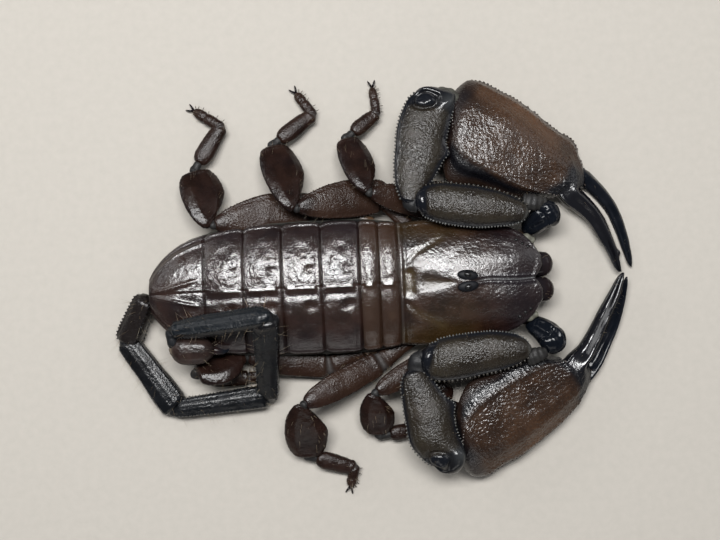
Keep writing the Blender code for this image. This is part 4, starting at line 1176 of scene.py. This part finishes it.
# stations are forward from the wrist, offset to the outer side, rise, half width, half thickness
armHand = {
    "skinSizes": ((0.6, 0.7), (0.75, 0.9), (0.75, 0.9), (0.5, 0.7)),
    "hair": (46, 0.9, 0.3, 0.97, 0.016, 0.25),
    "stations": (
        (-0.9, 1.9, 0.0, 1.9, 1.1), (0.4, 1.5, 0.0, 3.3, 1.7), (2.0, 0.5, 0.0, 4.8, 2.1),
        (4.2, 0.0, 0.0, 5.6, 2.4), (7.0, -0.1, 0.0, 6.0, 2.7), (10.5, -0.1, 0.0, 5.9, 2.7),
        (13.6, -0.1, 0.0, 5.5, 2.5), (16.2, 0.0, -0.1, 4.8, 2.2), (18.2, 0.15, -0.2, 3.9, 1.95),
        (19.6, -0.3, -0.25, 3.05, 1.75), (20.8, -1.4, -0.3, 1.9, 1.55), (22.6, -1.85, -0.5, 1.5, 1.35),
        (25.0, -2.75, -0.8, 1.3, 1.2), (28.0, -4.45, -1.25, 1.05, 1.0), (30.2, -5.8, -1.65, 0.8, 0.8),
        (31.8, -7.0, -1.95, 0.5, 0.5), (32.6, -7.6, -2.05, 0.25, 0.25),
    ),
    "fingerRidges": ((0.2, 90, 14), (-0.12, 55, 14), (-0.12, 125, 14)),
    "studs": ((8, 0.6, 0.2, 0.15, 0.03, 0.62, 31, 0.1), (352, 0.55, 0.16, 0.1, 0.03, 0.62, 32, 0.2),
              (42, 0.6, 0.13, 0.08, 0.05, 0.6, 33, 0.3), (162, 0.5, 0.15, 0.15, 0.04, 0.6, 34, 0, 0.15),
              (8, 0.36, 0.08, 0.09, 0.72, 0.97, 35), (352, 0.36, 0.08, 0.09, 0.72, 0.97, 35)),
}
armFinger = {
    "skinSizes": ((0.9, 1.0), (0.95, 1.05), (0.9, 0.95)),
    "hair": (30, 0.8, 0.1, 0.95, 0.015, 0.3),
    "stations": (
        (18.9, 2.0, -0.35, 0.8, 0.8), (20.3, 2.05, -0.4, 1.1, 1.15), (21.8, 1.85, -0.42, 1.2, 1.25),
        (23.6, 1.3, -0.55, 1.1, 1.15), (25.8, 0.35, -0.85, 1.0, 1.05), (28.4, -1.1, -1.2, 0.88, 0.92),
        (30.6, -2.8, -1.55, 0.74, 0.75), (32.8, -4.9, -1.9, 0.5, 0.5), (33.8, -6.0, -2.05, 0.25, 0.25),
    ),
    "ridges": ((0.12, 90, 14), (-0.08, 125, 14), (-0.08, 55, 14)),
    "studs": ((172, 0.36, 0.08, 0.09, 0.15, 0.95, 36), (188, 0.36, 0.08, 0.09, 0.15, 0.95, 36)),
    "hinge": ((17.4, 18.8, 20.0), (1.0, 1.5, 1.6), (-0.3, -0.4, -0.45)),
}


# the claw's own frame, forward, outward and up, turned by roll, pitch and yaw and moved to its wrist
def handPlace(arm, forward, outward, rise):
    (cz, sz), (cy, sy), (cx, sx) = ((math.cos(math.radians(v)), math.sin(math.radians(v)))
                                    for v in (arm["yaw"], -arm["pitch"], -arm["side"] * arm["roll"]))
    aboutZ = np.array([[cz, -sz, 0], [sz, cz, 0], [0, 0, 1]])
    aboutY = np.array([[cy, 0, sy], [0, 1, 0], [-sy, 0, cy]])
    aboutX = np.array([[1, 0, 0], [0, cx, -sx], [0, sx, cx]])
    own = np.stack([forward, arm["side"] * outward, rise], axis=-1)
    return own @ (aboutZ @ aboutY @ aboutX).T + np.array(arm["hand"])


# rings of the claw: each stands square to the line through the stations from the hand's end on
def clawGrid(arm, stations, fine, power, spread, start=0.8):
    stations = np.asarray(stations, float)
    low, high = stations[0, 0], stations[-1, 0]
    isHand = low < 0
    f = low + (high - low) * endDense(int((high - low) / (gridStep * fine)), 0.35)
    out, rise, halfWidth, halfThick = throughStops(stations, f).T
    out = out + spread * ease(f, 20.5, 27.5)
    lean = np.arctan(np.gradient(out, f)) * ease(f, 18.2, 21.0)
    cap = roundEnds((f - low) / (high - low), high - low, start)
    angle = onceRound(int(math.pi * (halfWidth.max() + halfThick.max()) / (gridStep * fine)))
    c, s = roundedBox(angle, power)
    palm = (band(f, 1, 4, 16, 20) * isHand)[:, None]
    inner = np.clip(-c, 0, 1)
    shelf = (1 - inner ** 7) ** 0.15 * (1 - arm["shelf"] * inner)
    s = s + (shelf - s) * ((c < 0) & (s > 0)) * palm
    s = s * (1 - arm["roof"] * np.abs(c) * (s > 0) * ease(f, 19, 22)[:, None])
    bow = arm["bow"] / 4.5 * bell(f, 17.6, 2.2) * (1 - ease(f, 19.5, 21.5)) * isHand
    c = c * (1 + (arm["wide"] - 1) * palm) + np.maximum(0, c) * bow[:, None]
    reach, height = (halfWidth * cap)[:, None] * c, (halfThick * cap)[:, None] * s
    rings = handPlace(arm, f[:, None] - reach * np.sin(lean)[:, None],
                      out[:, None] + reach * np.cos(lean)[:, None], rise[:, None] + height)
    shape = rings.shape[:2]
    return rings, np.broadcast_to(np.degrees(angle), shape), np.broadcast_to(f[:, None], shape)


# the moving finger's stations, turned towards the fixed finger and lowered
def shutFinger(arm):
    swing = math.radians(arm["shut"])
    stations = np.array(armFinger["stations"])
    ahead, out = (stations[:, :2] - stations[0, :2]).T
    turned = stations.copy()
    turned[:, 0] = stations[0, 0] + ahead * math.cos(swing) + out * math.sin(swing)
    turned[:, 1] = stations[0, 1] - ahead * math.sin(swing) + out * math.cos(swing)
    turned[:, 2] -= arm["drop"] * np.minimum(1, 2 * ahead / ahead[-1])
    return turned


# marks of an arm length: black keels and ends, browner flanks, raised grain, and a wet black boss in a pit;
# the pit and the hollows of the grain get painted shade through their low relief
def armMarks(rings, angle, dark, grain, seed, pale, boss=0, pit=0):
    below = ease(-np.sin(np.radians(angle)), -0.35, 0.1)
    tone = 0.9 * below * (1 - dark) - dark + 0.15 * noise(rings, 2, seed) - boss
    return marked(tone, 0.45 + 0.65 * grain + 0.4 * dark + 0.3 * below - 0.6 * pit, dark + 0.1, pale)


# the first, short length of an arm, with a seam pressed in and three low ridges
def makeArmHip(word, title, arm):
    d = armHip
    rings, angle, t = bentTube(arm["hip"], d["sizes"], roundness=1.5)
    fine = granules(rings, 0.36, 131, 0.5)
    seam = bell(t + 0.05 * np.sin(np.radians(3 * angle)), 0.6, 0.045)
    rings = raiseBy(rings, 0.02 * fine + ridges(angle, d["ridges"]) * bell(t, 0.55, 0.3)
                    + 0.08 * noise(rings, 1.3, 132) - 0.22 * seam)
    surfaces = studded(rings, angle, marked(-0.5, 0.6 + 0.4 * fine, 0.7), d["studs"])
    newPiece(f"armHip{title}", surfaces, "fingerShell", f"arm_{word}_hip")
    addJointSkin(arm["hipSkin"], d["skinSizes"], 9, tone=-0.75)


# the second length: two black keels with studs, a grained face between them and a collar at its end
def makeArmFemur(word, title, arm):
    d, side = armFemur, arm["side"]
    x, y, halfWidth = np.array(arm["femur"]).T
    run = np.concatenate([[0], np.cumsum(np.hypot(np.diff(x), np.diff(y)))])
    run /= run[-1]
    halfThick = d["thick"] / 2 * (0.4 + 0.6 * halfWidth / halfWidth.max())
    stops = np.stack([run, x, y, d["rise"][0] + (d["rise"][1] - d["rise"][0]) * run, halfWidth, halfThick], 1)
    rings, angle, t = bentGrid(stops, power=2.3, roundness=0.9)
    body = band(t, 0.05, 0.16, 0.88, 0.97)
    topInner, topOuter = d["keels"][::side]
    face = (1 - ease(np.abs(angleGap(angle, 90)), 52, 68)) * body
    fine = granules(rings, 0.3, 141, 0.6)
    lift = ridges(angle, ((0.24, topInner, 8), (0.24, topOuter, 8))) * body
    lift += 0.3 * bell(t, 0.93, 0.035) * ridgeAt(angle, 90, 60)
    lift -= 0.16 * bell(t, 0.86, 0.025) * ridgeAt(angle, 90, 50)
    rings = raiseBy(rings, lift + 0.06 * face * fine + 0.04 * noise(rings, 2.6, 143))
    dark = np.clip(ridges(angle, ((1, topInner, 19), (1, topOuter, 19))) + 1.5 * ease(t, 0.86, 0.93), 0, 1)
    marks = armMarks(rings, angle, dark, fine * face, 144, 0.15 * bell(t, 0.02, 0.02))
    angles = (topInner, topOuter, topOuter + 22 * side)
    studs = [(place, *row) for place, row in zip(angles, d["studs"])]
    newPiece(f"armFemur{title}", studded(rings, angle, marks, studs), "armShell", f"arm_{word}_femur")
    growHair(rings, 330 + side, *d["hair"])
    return stops[0, 1:4], stops[-1, 1:4]


# boxed rings along the line from knee to wrist, shifted sideways and with a spur on the inner side
def makeArmPatella(word, title, arm, femurStart, femurEnd):
    d, side = armPatella, arm["side"]
    knee, wrist = (np.array(p) for p in arm["patella"])
    along = unit(wrist - knee)
    addJointSkin([femurEnd - unit(femurEnd - femurStart), femurEnd * 0.6 + knee * 0.4, knee + along],
                 d["skinSizes"], 6, tone=-0.9)
    knee, wrist = knee - along * d["reach"][0], wrist + along * d["reach"][1]
    length = np.linalg.norm(wrist - knee)
    rowShares = endDense(int(length / gridStep), 0.4)
    share, shift = throughStops(arm["patellaProfile"], rowShares).T
    cap = roundEnds(rowShares, length, 0.9)
    inward = -side * unit(np.cross(up, along))
    around = onceRound(int(math.pi * (arm["patellaWidth"] + d["thick"]) / 2 / gridStep))
    c, s = roundedBox(around, d["power"])
    halfWidth = (arm["patellaWidth"] / 2 * share * cap)[:, None]
    halfThick = (d["thick"] / 2 * (0.45 + 0.55 * share) * cap)[:, None]
    spur = (d["spur"] * bell(rowShares, arm["spurAt"], 0.05))[:, None] * np.maximum(0, np.cos(around)) ** 8
    centre = (knee + (wrist - knee) * rowShares[:, None] + inward * shift[:, None])[:, None, :]
    rings = centre + inward * (halfWidth * c + spur)[..., None] + up * (halfThick * s)[..., None]
    angle = np.broadcast_to(np.degrees(around), rings.shape[:2])
    t = np.broadcast_to(rowShares[:, None], angle.shape)

    body = band(t, 0.05, 0.15, 0.84, 0.93)
    topIn, topOut = d["keels"]
    brow = arm["browAt"]
    face = (1 - ease(np.abs(angleGap(angle, (brow + topIn) / 2)), brow / 2 - 14, brow / 2 - 2)) * body
    around = np.hypot((t - 0.87) * length / 1.25, angleGap(angle, 112) / 30)
    boss, pit = 1 - ease(around, 0.55, 0.95), bell(around, 1.05, 0.22)
    knob = bell(t, 0.89, 0.07) * ridgeAt(angle, 50, 24)
    fine = granules(rings, 0.3, 151, 0.6)
    lift = ridges(angle, ((0.26, topIn, 9), (0.26, topOut, 8), (0.12, brow, 8))) * body
    lift += arm["ramp"] * np.clip(np.sin(np.radians(angle)), 0, 1) * ease(t, 0.05, 0.9)
    lift += 0.15 * boss - 0.4 * pit + 0.6 * knob + 0.25 * bell(t, 0.96, 0.03) * ridgeAt(angle, 130, 30)
    lift += face * (0.06 * fine + 0.01 * noise(rings, (0.6, 0.2, 0.4), 152)) + 0.05 * noise(rings, 2.4, 153)
    rings = raiseBy(rings, lift)
    ends = 0.85 * ease(t, 0.79, 0.85) + ease(-t, -0.08, -0.02)
    dark = np.clip(ridges(angle, ((1, topIn, 19), (1, topOut, 19))) + ends, 0, 1)
    marks = armMarks(rings, angle, dark, fine * face, 154, 0.1 * knob, boss, pit)
    surfaces = studded(rings, angle, marks, d["studs"])
    newPiece(f"armPatella{title}", surfaces, "armShell", f"arm_{word}_patella")
    growHair(rings, 340 + side, *d["hair"])


# the claw with its fixed finger: leathery above, keeled along its edges, swollen on the inner wall
def makeHand(word, title, arm):
    d, rough = armHand, arm["rough"]
    rings, angle, f = clawGrid(arm, d["stations"], 1.15, 2.15, arm["spread"][0])
    handBody = band(f, 0.4, 2.4, 17.5, 21.5)
    topSide = ease(np.sin(np.radians(angle)), -0.3, 0.25)
    innerHalf = ease(angleGap(angle, 76), -22, 22) * topSide
    onFinger = ease(f, 19.5, 22.0)
    netted = leatherGrain(rings, 0.46, 161)
    fine = granules(rings, 0.34, 162, 0.5)
    lift = 0.13 * netted * (rough + (1 - rough) * innerHalf) + 0.05 * fine * (1 + 0.6 * rough)
    lift = lift * topSide + 0.14 * ridgeAt(angle, 76, 9) * ease(f, 2, 6) + 0.16 * ridgeAt(angle, 42, 8)
    lift = handBody * lift + 0.22 * ridgeAt(angle, 8, 7) * band(f, 0.5, 2, 18, 21)
    lift += 0.16 * ridgeAt(angle, 162, 7) * ease(f, 1.5, 4)
    lift += onFinger * ridges(angle, d["fingerRidges"]) + 0.4 * bell(f, 30.6, 0.35) * ridgeAt(angle, 0, 40)
    lift += 0.1 * noise(rings, 3.2, 163) + 0.04 * noise(rings, 1.2, 164)
    inner, middle = handPlace(arm, *np.array([(0, 0), (-1, 0), (0, 0)]))
    towardsBody = (inner - middle) * (1, 1, 0)
    swell = collars(f, arm["wall"]) * ridgeAt(angle, 206, 30)
    rings = raiseBy(rings, lift) + swell[..., None] * towardsBody
    # the inner under wall is warmed towards its own red-brown and also blackened and given low relief:
    # painted shade under the claw; the low relief in the grain's creases paints shade there too
    wall = ridgeAt(angle, 214, 40)
    edge = ridges(angle, ((0.9, 2, 13), (0.54, 176, 9))) * ease(f, 1, 4)
    black = ease(f + 2.2 * noise(rings, 2.4, 165), 16.5, 20.5)
    black = np.clip(black + 0.7 * wall + edge + 0.5 * (1 - ease(f, 0.5, 2.5)), 0, 1)
    warm = ridgeAt(angle, 50, 30) * bell(f, 8.5, 7)
    marks = marked(0.8 * warm + 0.25 * noise(rings, 2.0, 166) - 1.5 * black + 0.35 * wall,
                   1 - 0.5 * wall - handBody * topSide * (1 - netted) * (0.5 + 0.5 * innerHalf),
                   0.9 * onFinger + 0.3 * innerHalf)
    newPiece(f"hand{title}", studded(rings, angle, marks, d["studs"]), "handShell", f"arm_{word}_hand")
    growHair(rings, 350 + arm["side"], *d["hair"])
    addJointSkin(arm["wristSkin"], d["skinSizes"], 9, tone=-0.6, pale=0.2)


# the moving finger with three low ridges, and the soft skin of its hinge
def makeFinger(word, title, arm):
    d = armFinger
    rings, angle, f = clawGrid(arm, shutFinger(arm), 0.8, 2.3, arm["spread"][1], 0.6)
    grow = ease(f, 21.5, 23.5)
    lift = ridges(angle, d["ridges"]) * grow + 0.05 * granules(rings, 0.4, 171) * (1 - grow)
    rings = raiseBy(rings, lift + 0.03 * noise(rings, 0.9, 172))
    marks = marked(-0.3 + 0.3 * noise(rings, 1.5, 173), 0.9, 0.8)
    newPiece(f"finger{title}", studded(rings, angle, marks, d["studs"]), "fingerShell", f"arm_{word}_finger")
    growHair(rings, 360 + arm["side"], *d["hair"])
    hinge = handPlace(arm, *(np.array(row) for row in d["hinge"]))
    addJointSkin(list(hinge), d["skinSizes"], 6, tone=-0.9)


# a whole arm, from the hip out
def makeArm(word):
    who = (word, word.capitalize(), arms[word])
    makeArmHip(*who)
    femurEnds = makeArmFemur(*who)
    makeArmPatella(*who, *femurEnds)
    makeHand(*who)
    makeFinger(*who)


# sizes are width and thickness of legs 1 to 4
legs = {
    "ankleSkin": ((0.55, 0.5), (0.7, 0.55), (0.55, 0.5)),
    "footHair": (44, 0.9, 0.1, 0.97, 0.018, 0.5),
    "patellaHair": (34, 1.2, 0.15, 0.97, 0.02, 0.5),
    "femurHair": (30, 1.1, 0.2, 0.95, 0.02, 0.5),
    "femur": ((2.8, 1.7), (3.1, 1.7), (3.8, 1.8), (3.9, 1.8)),
    "patella": ((3.4, 1.8), (4.7, 2.0), (5.8, 2.1), (6.1, 2.1)),
    "tibia": ((1.8, 1.4), (2.2, 1.5), (2.5, 1.6), (2.6, 1.6)),
    "tarsus": ((1.1, 1.0), (1.3, 1.1), (1.5, 1.2), (1.6, 1.2)),
    "femurProfile": ((0, 0.5), (0.2, 0.62), (0.36, 0.9), (0.7, 1.0), (0.9, 0.75), (1, 0.4)),
    "patellaProfile": ((0, 0.3), (0.12, 0.55), (0.35, 0.9), (0.6, 1.0), (0.84, 0.84), (1, 0.5)),
    "roll": {("right", 4): 32, ("left", 2): 24, ("left", 3): 24, ("left", 4): 24},
    "foldedShift": {("right", 4): (-0.3, -0.9, -1.7), ("right", 2): (0.4, -0.3, 0)},
    "femurWider": {("left", 2): 1.3, ("left", 3): 1.4, ("left", 4): 1.5},
    "shinStart": 1.1,
    "femurRidges": ((0.12, 25, 9), (0.12, 155, 9)),
    "femurCollars": ((-0.25, 0.3, 0.025), (0.1, 0.25, 0.02), (0.1, 0.35, 0.02)),
    "femurStuds": ((25, 0.45, 0.11, 0.13, 0.38, 0.9), (155, 0.45, 0.11, 0.13, 0.38, 0.9)),
    "patellaEdges": ((1, 8, 14), (1, 172, 14)),
    "patellaRidges": ((0.05, 118, 9), (0.05, 62, 9), (-0.05, 90, 16)),
    "patellaCollars": ((0.12, 0.93, 0.03), (-0.1, 0.06, 0.02)),
    "footCollars": ((-0.16, 0.45, 0.02), (0.1, 0.4, 0.025), (-0.12, 0.72, 0.018)),
    "claw": ((0, 0, 0.3), (0.4, 0.25, 0.58), (0.85, 0.45, 0.45), (1.1, 0.5, 0.08)),
    "clawSizes": ((0.17, 0.17), (0.15, 0.15), (0.1, 0.1), (0.03, 0.03)),
    "kneeSkin": ((0.55, 0.5), (0.6, 0.55), (0.55, 0.5)),
}


# the two first lengths of a leg in one tube, pinched by collars where they meet
def makeLegFemur(word, number, title, seed, hip, trochanter, knee):
    d = legs
    width, thick = d["femur"][number - 1]
    wider = d["femurWider"].get((word, number), 1.0) - 1
    shares = np.linspace(0, 1, 13)
    swell = wider * np.sin(shares * np.pi)
    profile = throughStops(d["femurProfile"], shares)
    centres = np.where(shares[:, None] < 0.3, hip + (trochanter - hip) * shares[:, None] / 0.3,
                       trochanter + (knee - trochanter) * (shares[:, None] - 0.3) / 0.7)
    centres = centres + (swell * width / 2)[:, None] * np.array([0, 0.8, 0])
    sizes = np.stack([width / 2 * profile * (1 + swell), thick / 2 * (0.4 + 0.6 * profile)], 1)
    rings, angle, t = bentGrid(np.column_stack([shares, centres, sizes]), power=2.5, roundness=0.6)
    fine = granules(rings, 0.34, 181 + seed, 0.55)
    lift = ridges(angle, d["femurRidges"]) * band(t, 0.33, 0.4, 0.9, 0.97) + collars(t, d["femurCollars"])
    lift += 0.04 * fine * band(t, 0.05, 0.12, 0.88, 0.95)
    rings = raiseBy(rings, lift + 0.05 * noise(rings, 1.4, 182))
    # the pinched joint gets low relief, which paints shade in it, and a little of its own paleness
    joint = bell(t, 0.3, 0.025)
    marks = marked(0.5 + 0.3 * noise(rings, 2, 183) - 0.6 * ease(t, 0.85, 1), 0.7 + 0.3 * fine - joint,
                   0.4 + 0.3 * ease(t, 0.85, 1), 0.12 * joint)
    studs = [(*row, seed) for row in d["femurStuds"]]
    newPiece(f"{title}Femur", studded(rings, angle, marks, studs), "legShell", f"leg_{word}_{number}_femur")
    growHair(rings, 400 + seed, *d["femurHair"])


# a leg's flattened third length, edged and grained, and the soft skin at its knee
def makeLegPatella(word, number, title, seed, trochanter, knee, ankle):
    d = legs
    rings, angle, t = limbGrid((trochanter, knee, ankle, None), d["patella"][number - 1], d["patellaProfile"],
                               d["roll"].get((word, number), 0), (0.15, 0.2), 2.3, 0.7)
    body = band(t, 0.08, 0.2, 0.85, 0.95)
    fine = granules(rings, 0.36, 191 + seed, 0.5)
    edges = ridges(angle, d["patellaEdges"])
    lift = 0.12 * edges + ridges(angle, d["patellaRidges"]) + (0.02 + 0.05 * np.clip(edges, 0, 1)) * fine
    lift *= body
    lift += 0.07 * noise(rings, 2.2, 192 + seed) + 0.02 * noise(rings, 0.6, 193)
    rings = raiseBy(rings, lift + collars(t, d["patellaCollars"]))
    marks = marked(-0.1 + 0.3 * noise(rings, 1.8, 194 + seed) - 0.3 * edges, 0.75 + 0.25 * fine,
                   0.5 + 0.2 * body, 0.06 * bell(t, 0.98, 0.015))
    newPiece(f"{title}Patella", [closedTube(rings, marks)], "legShell", f"leg_{word}_{number}_patella")
    growHair(rings, 410 + seed, *d["patellaHair"])
    back, front = unit(knee - trochanter), unit(ankle - knee)
    addJointSkin([knee - back * 0.7, knee, knee + front * 0.7], d["kneeSkin"], 5, tone=-0.8)


# tibia and tarsus in one bent tube, two curved claws at the toe and a row of spines under the foot
def makeLegFoot(word, number, title, seed, knee, ankle, wrist, toe):
    d = legs
    ankleEnd = ankle + np.array(d["foldedShift"].get((word, number), (0, 0, 0)))
    shin = unit(wrist - ankleEnd)
    tibia, tarsus = np.array(d["tibia"][number - 1]), np.array(d["tarsus"][number - 1])
    first = ankleEnd + shin * d["shinStart"]
    sole = toe + (0, 0, 0.16)
    path = [first, first * 0.75 + wrist * 0.25, first * 0.3 + wrist * 0.7, wrist - shin * 0.3,
            wrist * 0.82 + sole * 0.18, wrist * 0.45 + sole * 0.55, wrist * 0.15 + sole * 0.85, sole]
    sizes = [tibia * (0.3, 0.35), tibia / 2, tibia * (0.46, 0.48), tibia * (0.36, 0.42),
             tarsus / 2, tarsus / 2, tarsus * 0.42, (0.34, 0.34)]
    rings, angle, t = bentTube(path, sizes, power=2.4, fine=0.85, roundness=0.5)
    fine = granules(rings, 0.36, 201 + seed, 0.5)
    rings = raiseBy(rings, collars(t, d["footCollars"]) + 0.04 * fine + 0.03 * noise(rings, 0.9, 202))
    marks = marked(0.1 + 0.4 * ease(t, 0.45, 0.9) + 0.2 * noise(rings, 1, 203), 0.6 + 0.4 * fine, 0.3,
                   0.1 * bell(t, 0.45, 0.02))
    surfaces = [closedTube(rings, marks)]
    ahead = unit((sole - wrist) * (1, 1, 0))
    across = np.cross(up, ahead)
    for lean in (1, -1):
        claw = [toe * (1, 1, 0) + ahead * x + across * lean * y + up * z for x, y, z in d["claw"]]
        hook, _, _ = bentTube(claw, d["clawSizes"], columns=10, fine=0.6, roundness=0.06)
        hook[..., 2] = np.maximum(hook[..., 2], floorGap)
        surfaces.append(closedTube(hook, marked(-0.9, 0.9, 0.9)))
    line, normals = lineAt(rings, angle, 180 if word == "left" else 0, 0.5, 0.95)
    pick = np.linspace(0, len(line) - 1, 6).astype(int)
    spike, _, _ = bentGrid([(0, 0, 0, 0, 0.07, 0.07), (1, 0.55, 0, 0.0, 0.02, 0.02)], columns=6, fine=3,
                           roundness=0.05)
    normal = unit(normals[pick] + (0, 0, -0.2))
    other = unit(np.cross(up, normal))
    axes = np.stack([normal, other, np.cross(normal, other)], 1)
    surfaces.append(scatterCopies(closedTube(spike[::6]), line[pick], axes, marked(0.6, 1, 1)))
    newPiece(f"{title}Foot", surfaces, "legShell", f"leg_{word}_{number}_foot")
    growHair(rings, 420 + seed, *d["footHair"])
    addJointSkin([ankle - unit(ankle - knee) * 0.4, ankleEnd * 0.5 + ankle * 0.5, first + shin * 0.5],
                 d["ankleSkin"], 5, tone=-0.8)


# a whole leg, from the hip out
def makeLeg(word, number):
    hip, trochanter, knee, ankle, wrist, toe = (np.array(p) for p in legJoints[word, number])
    which = (word, number, f"leg{word.capitalize()}{number}", number * 10 + len(word))
    makeLegFemur(*which, hip, trochanter, knee)
    makeLegPatella(*which, trochanter, knee, ankle)
    makeLegFoot(*which, knee, ankle, wrist, toe)


hair = {
    "rows": 4,
    "sides": 3,
    "sunk": 0.05,
    "droop": 0.12,
    "thinning": 0.93,
    "patch": (0.003, 0.0015),
}


# three-sided hairs, thinning to their tips: each leans along its limb and bends a little to one side
def makeHair():
    d = hair
    rows, sides = d["rows"], d["sides"]
    points, patches, tones = [], [], []
    cells = math.ceil(math.sqrt(len(hairSources)))
    for number, (rings, seed, count, length, low, high, thick, lean) in enumerate(hairSources):
        index = np.stack([np.arange(count), np.full(count, seed), np.zeros(count, int)], 1)
        chance = [cellRandom(index, k) for k in range(6)]
        row = ((low + (high - low) * chance[0]) * (len(rings) - 1)).astype(int)
        column = (chance[1] * rings.shape[1]).astype(int)
        normals = outwardNormals(rings)
        ahead = unit(np.gradient(rings.mean(1), axis=0))[row]
        root, normal = rings[row, column], normals[row, column]
        keep = normal[:, 2] > -0.5
        direction = unit(normal + ahead * (lean + 0.6 * (chance[2] - 0.5))[:, None])
        side = unit(np.cross(direction, normal + 0.01))
        reach = length * (0.45 + 0.75 * chance[3])
        t = np.linspace(0, 1, rows)
        curl = side * ((chance[4] - 0.5) * 0.5 * reach)[:, None] - up * (d["droop"] * reach)[:, None]
        path = root[:, None] - direction[:, None] * d["sunk"]
        path = path + direction[:, None] * (reach[:, None] * t)[..., None]
        path = path + curl[:, None] * (t * t)[None, :, None]
        path[..., 2] = np.maximum(path[..., 2], hairGap)
        other = np.cross(direction, side)
        turn = onceRound(sides)
        star = side[:, None] * np.cos(turn)[None, :, None] + other[:, None] * np.sin(turn)[None, :, None]
        made = path[:, :, None] + star[:, None] * (thick * (1 - d["thinning"] * t))[None, :, None, None]
        cell = np.array([number % cells, number // cells], float)
        spot = (cell + 0.05 + 0.9 * np.stack([row / len(rings), column / rings.shape[1]], 1)) / cells
        corner = np.stack(gridOf(t * d["patch"][0], np.arange(sides) * d["patch"][1]), -1)
        points.append(made[keep].reshape(-1, 3))
        patches.append((spot[keep][:, None, None] + corner[None]).reshape(-1, 2))
        tones.append(np.repeat(chance[5][keep] * 1.6 - 0.8, rows * sides))
    points = np.concatenate(points)
    total = len(points) // (rows * sides)
    each = gridFaces(rows, sides, True)
    shift = (np.arange(total) * rows * sides)[:, None, None]
    last = (rows - 1) * sides
    ends = np.array([[2, 1, 0], [last, last + 1, last + 2]])
    surface = faceOut(points, (each[None] + shift).reshape(-1, 4), (ends[None] + shift).reshape(-1, 3),
                      marked(np.concatenate(tones), np.ones(len(points))))
    newPiece("bristles", [surface], "bristle", patches=np.concatenate(patches))
    print("hairs:", total)


makeShield()
makeEyes()
for number in range(1, 8):
    makeTergite(number)
makeSkin()
makeMouthparts()
makeHips()
makeCombs()
print("body done")
makeTail()
makeArm("left")
makeArm("right")
print("tail and arms done")
for word in ("left", "right"):
    for number in (1, 2, 3, 4):
        makeLeg(word, number)
for side, _ in bothSides:
    places = [(x, side * y, z) for x, y, z in hips["armSkin"]]
    addJointSkin(places, hips["armSkinSizes"], 5, tone=-0.2, pale=0.6)
newPiece("jointSkins", jointSkins, "jointSkin")
makeHair()
print("legs and bristles done")

# metres; each softbox is (place, aim, size, power, colour)
studio = {
    "floorHalf": 1.5,
    "floorDepth": 0.00002,
    "cameraAt": (-0.0012, 0.00242, 0.180),
    "turn": -2.77,
    "sensor": 36,
    "clip": (0.01, 10),
    "viewWidth": 0.1008,
    "viewHeight": 0.004,
    "softboxes": {
        "key": ((-0.03, 0.11, 0.37), (-0.03, 0, 0), (0.26, 0.085), 2.1, (1, 1, 1)),
        "leftSide": ((-0.4, 0.25, 0.25), (0, 0, 0), (0.3, 0.15), 0.4, (1, 1, 1)),
        "rightSide": ((0.4, 0.2, 0.25), (0, 0, 0), (0.3, 0.15), 0.22, (1, 1, 1)),
        "nearSide": ((0.0, -0.46, 0.2), (0, 0, 0), (0.4, 0.12), 0.22, (1, 0.97, 0.93)),
    },
    "roomColour": (0.8, 0.83, 0.88, 1),
    "roomPower": 0.12,
}


# a pale floor just under the model
def makeFloor():
    mesh = bpy.data.meshes.new("floor")
    half, depth = studio["floorHalf"], studio["floorDepth"]
    corners = [(x * half, y * half, -depth) for x, y in ((-1, -1), (1, -1), (1, 1), (-1, 1))]
    mesh.from_pydata(corners, [], [(0, 1, 2, 3)])
    material = bpy.data.materials.new("paleFloor")
    material.use_nodes = True
    tree = material.node_tree
    place = addNode(tree, "ShaderNodeTexCoord").outputs["Object"]
    dust = addNode(tree, "ShaderNodeTexNoise", {"Vector": place, "Scale": 900.0, "Detail": 4.0})
    tint = mixColour(tree, dust.outputs[0], (0.41, 0.385, 0.345, 1), (0.47, 0.44, 0.395, 1))
    feed(tree, tree.nodes["Principled BSDF"], {"Base Color": tint, "Roughness": 0.75})
    mesh.materials.append(material)
    floor = bpy.data.objects.new("floor", mesh)
    bpy.context.scene.collection.objects.link(floor)


# a rectangular lamp at a place, turned towards what it lights
def addSoftbox(name, place, aim, size, power, colour):
    light = bpy.data.lights.new(name, "AREA")
    light.shape = "RECTANGLE"
    light.size, light.size_y = size
    light.energy, light.color = power, colour
    lamp = bpy.data.objects.new(name, light)
    lamp.location = place
    ahead = unit(np.array(aim, float) - np.array(place, float))
    lamp.rotation_euler = (math.acos(-ahead[2]), 0, math.atan2(ahead[1], ahead[0]) - math.pi / 2)
    bpy.context.scene.collection.objects.link(lamp)


# the camera looking straight down, four softboxes and a dim room
def makeStudio():
    d = studio
    camera = bpy.data.cameras.new("camera")
    camera.sensor_width = d["sensor"]
    camera.lens = d["sensor"] * (d["cameraAt"][2] - d["viewHeight"]) / d["viewWidth"]
    camera.clip_start, camera.clip_end = d["clip"]
    viewer = bpy.data.objects.new("camera", camera)
    viewer.location = d["cameraAt"]
    viewer.rotation_euler = (0, 0, math.radians(d["turn"]))
    bpy.context.scene.collection.objects.link(viewer)
    bpy.context.scene.camera = viewer
    for name, lamp in d["softboxes"].items():
        addSoftbox(name, *lamp)
    bpy.context.scene.view_settings.view_transform = "Standard"
    world = bpy.data.worlds.new("room")
    bpy.context.scene.world = world
    world.use_nodes = True
    feed(world.node_tree, world.node_tree.nodes["Background"], {0: d["roomColour"], 1: d["roomPower"]})


makeFloor()
makeStudio()
print("floor, lights and camera done")
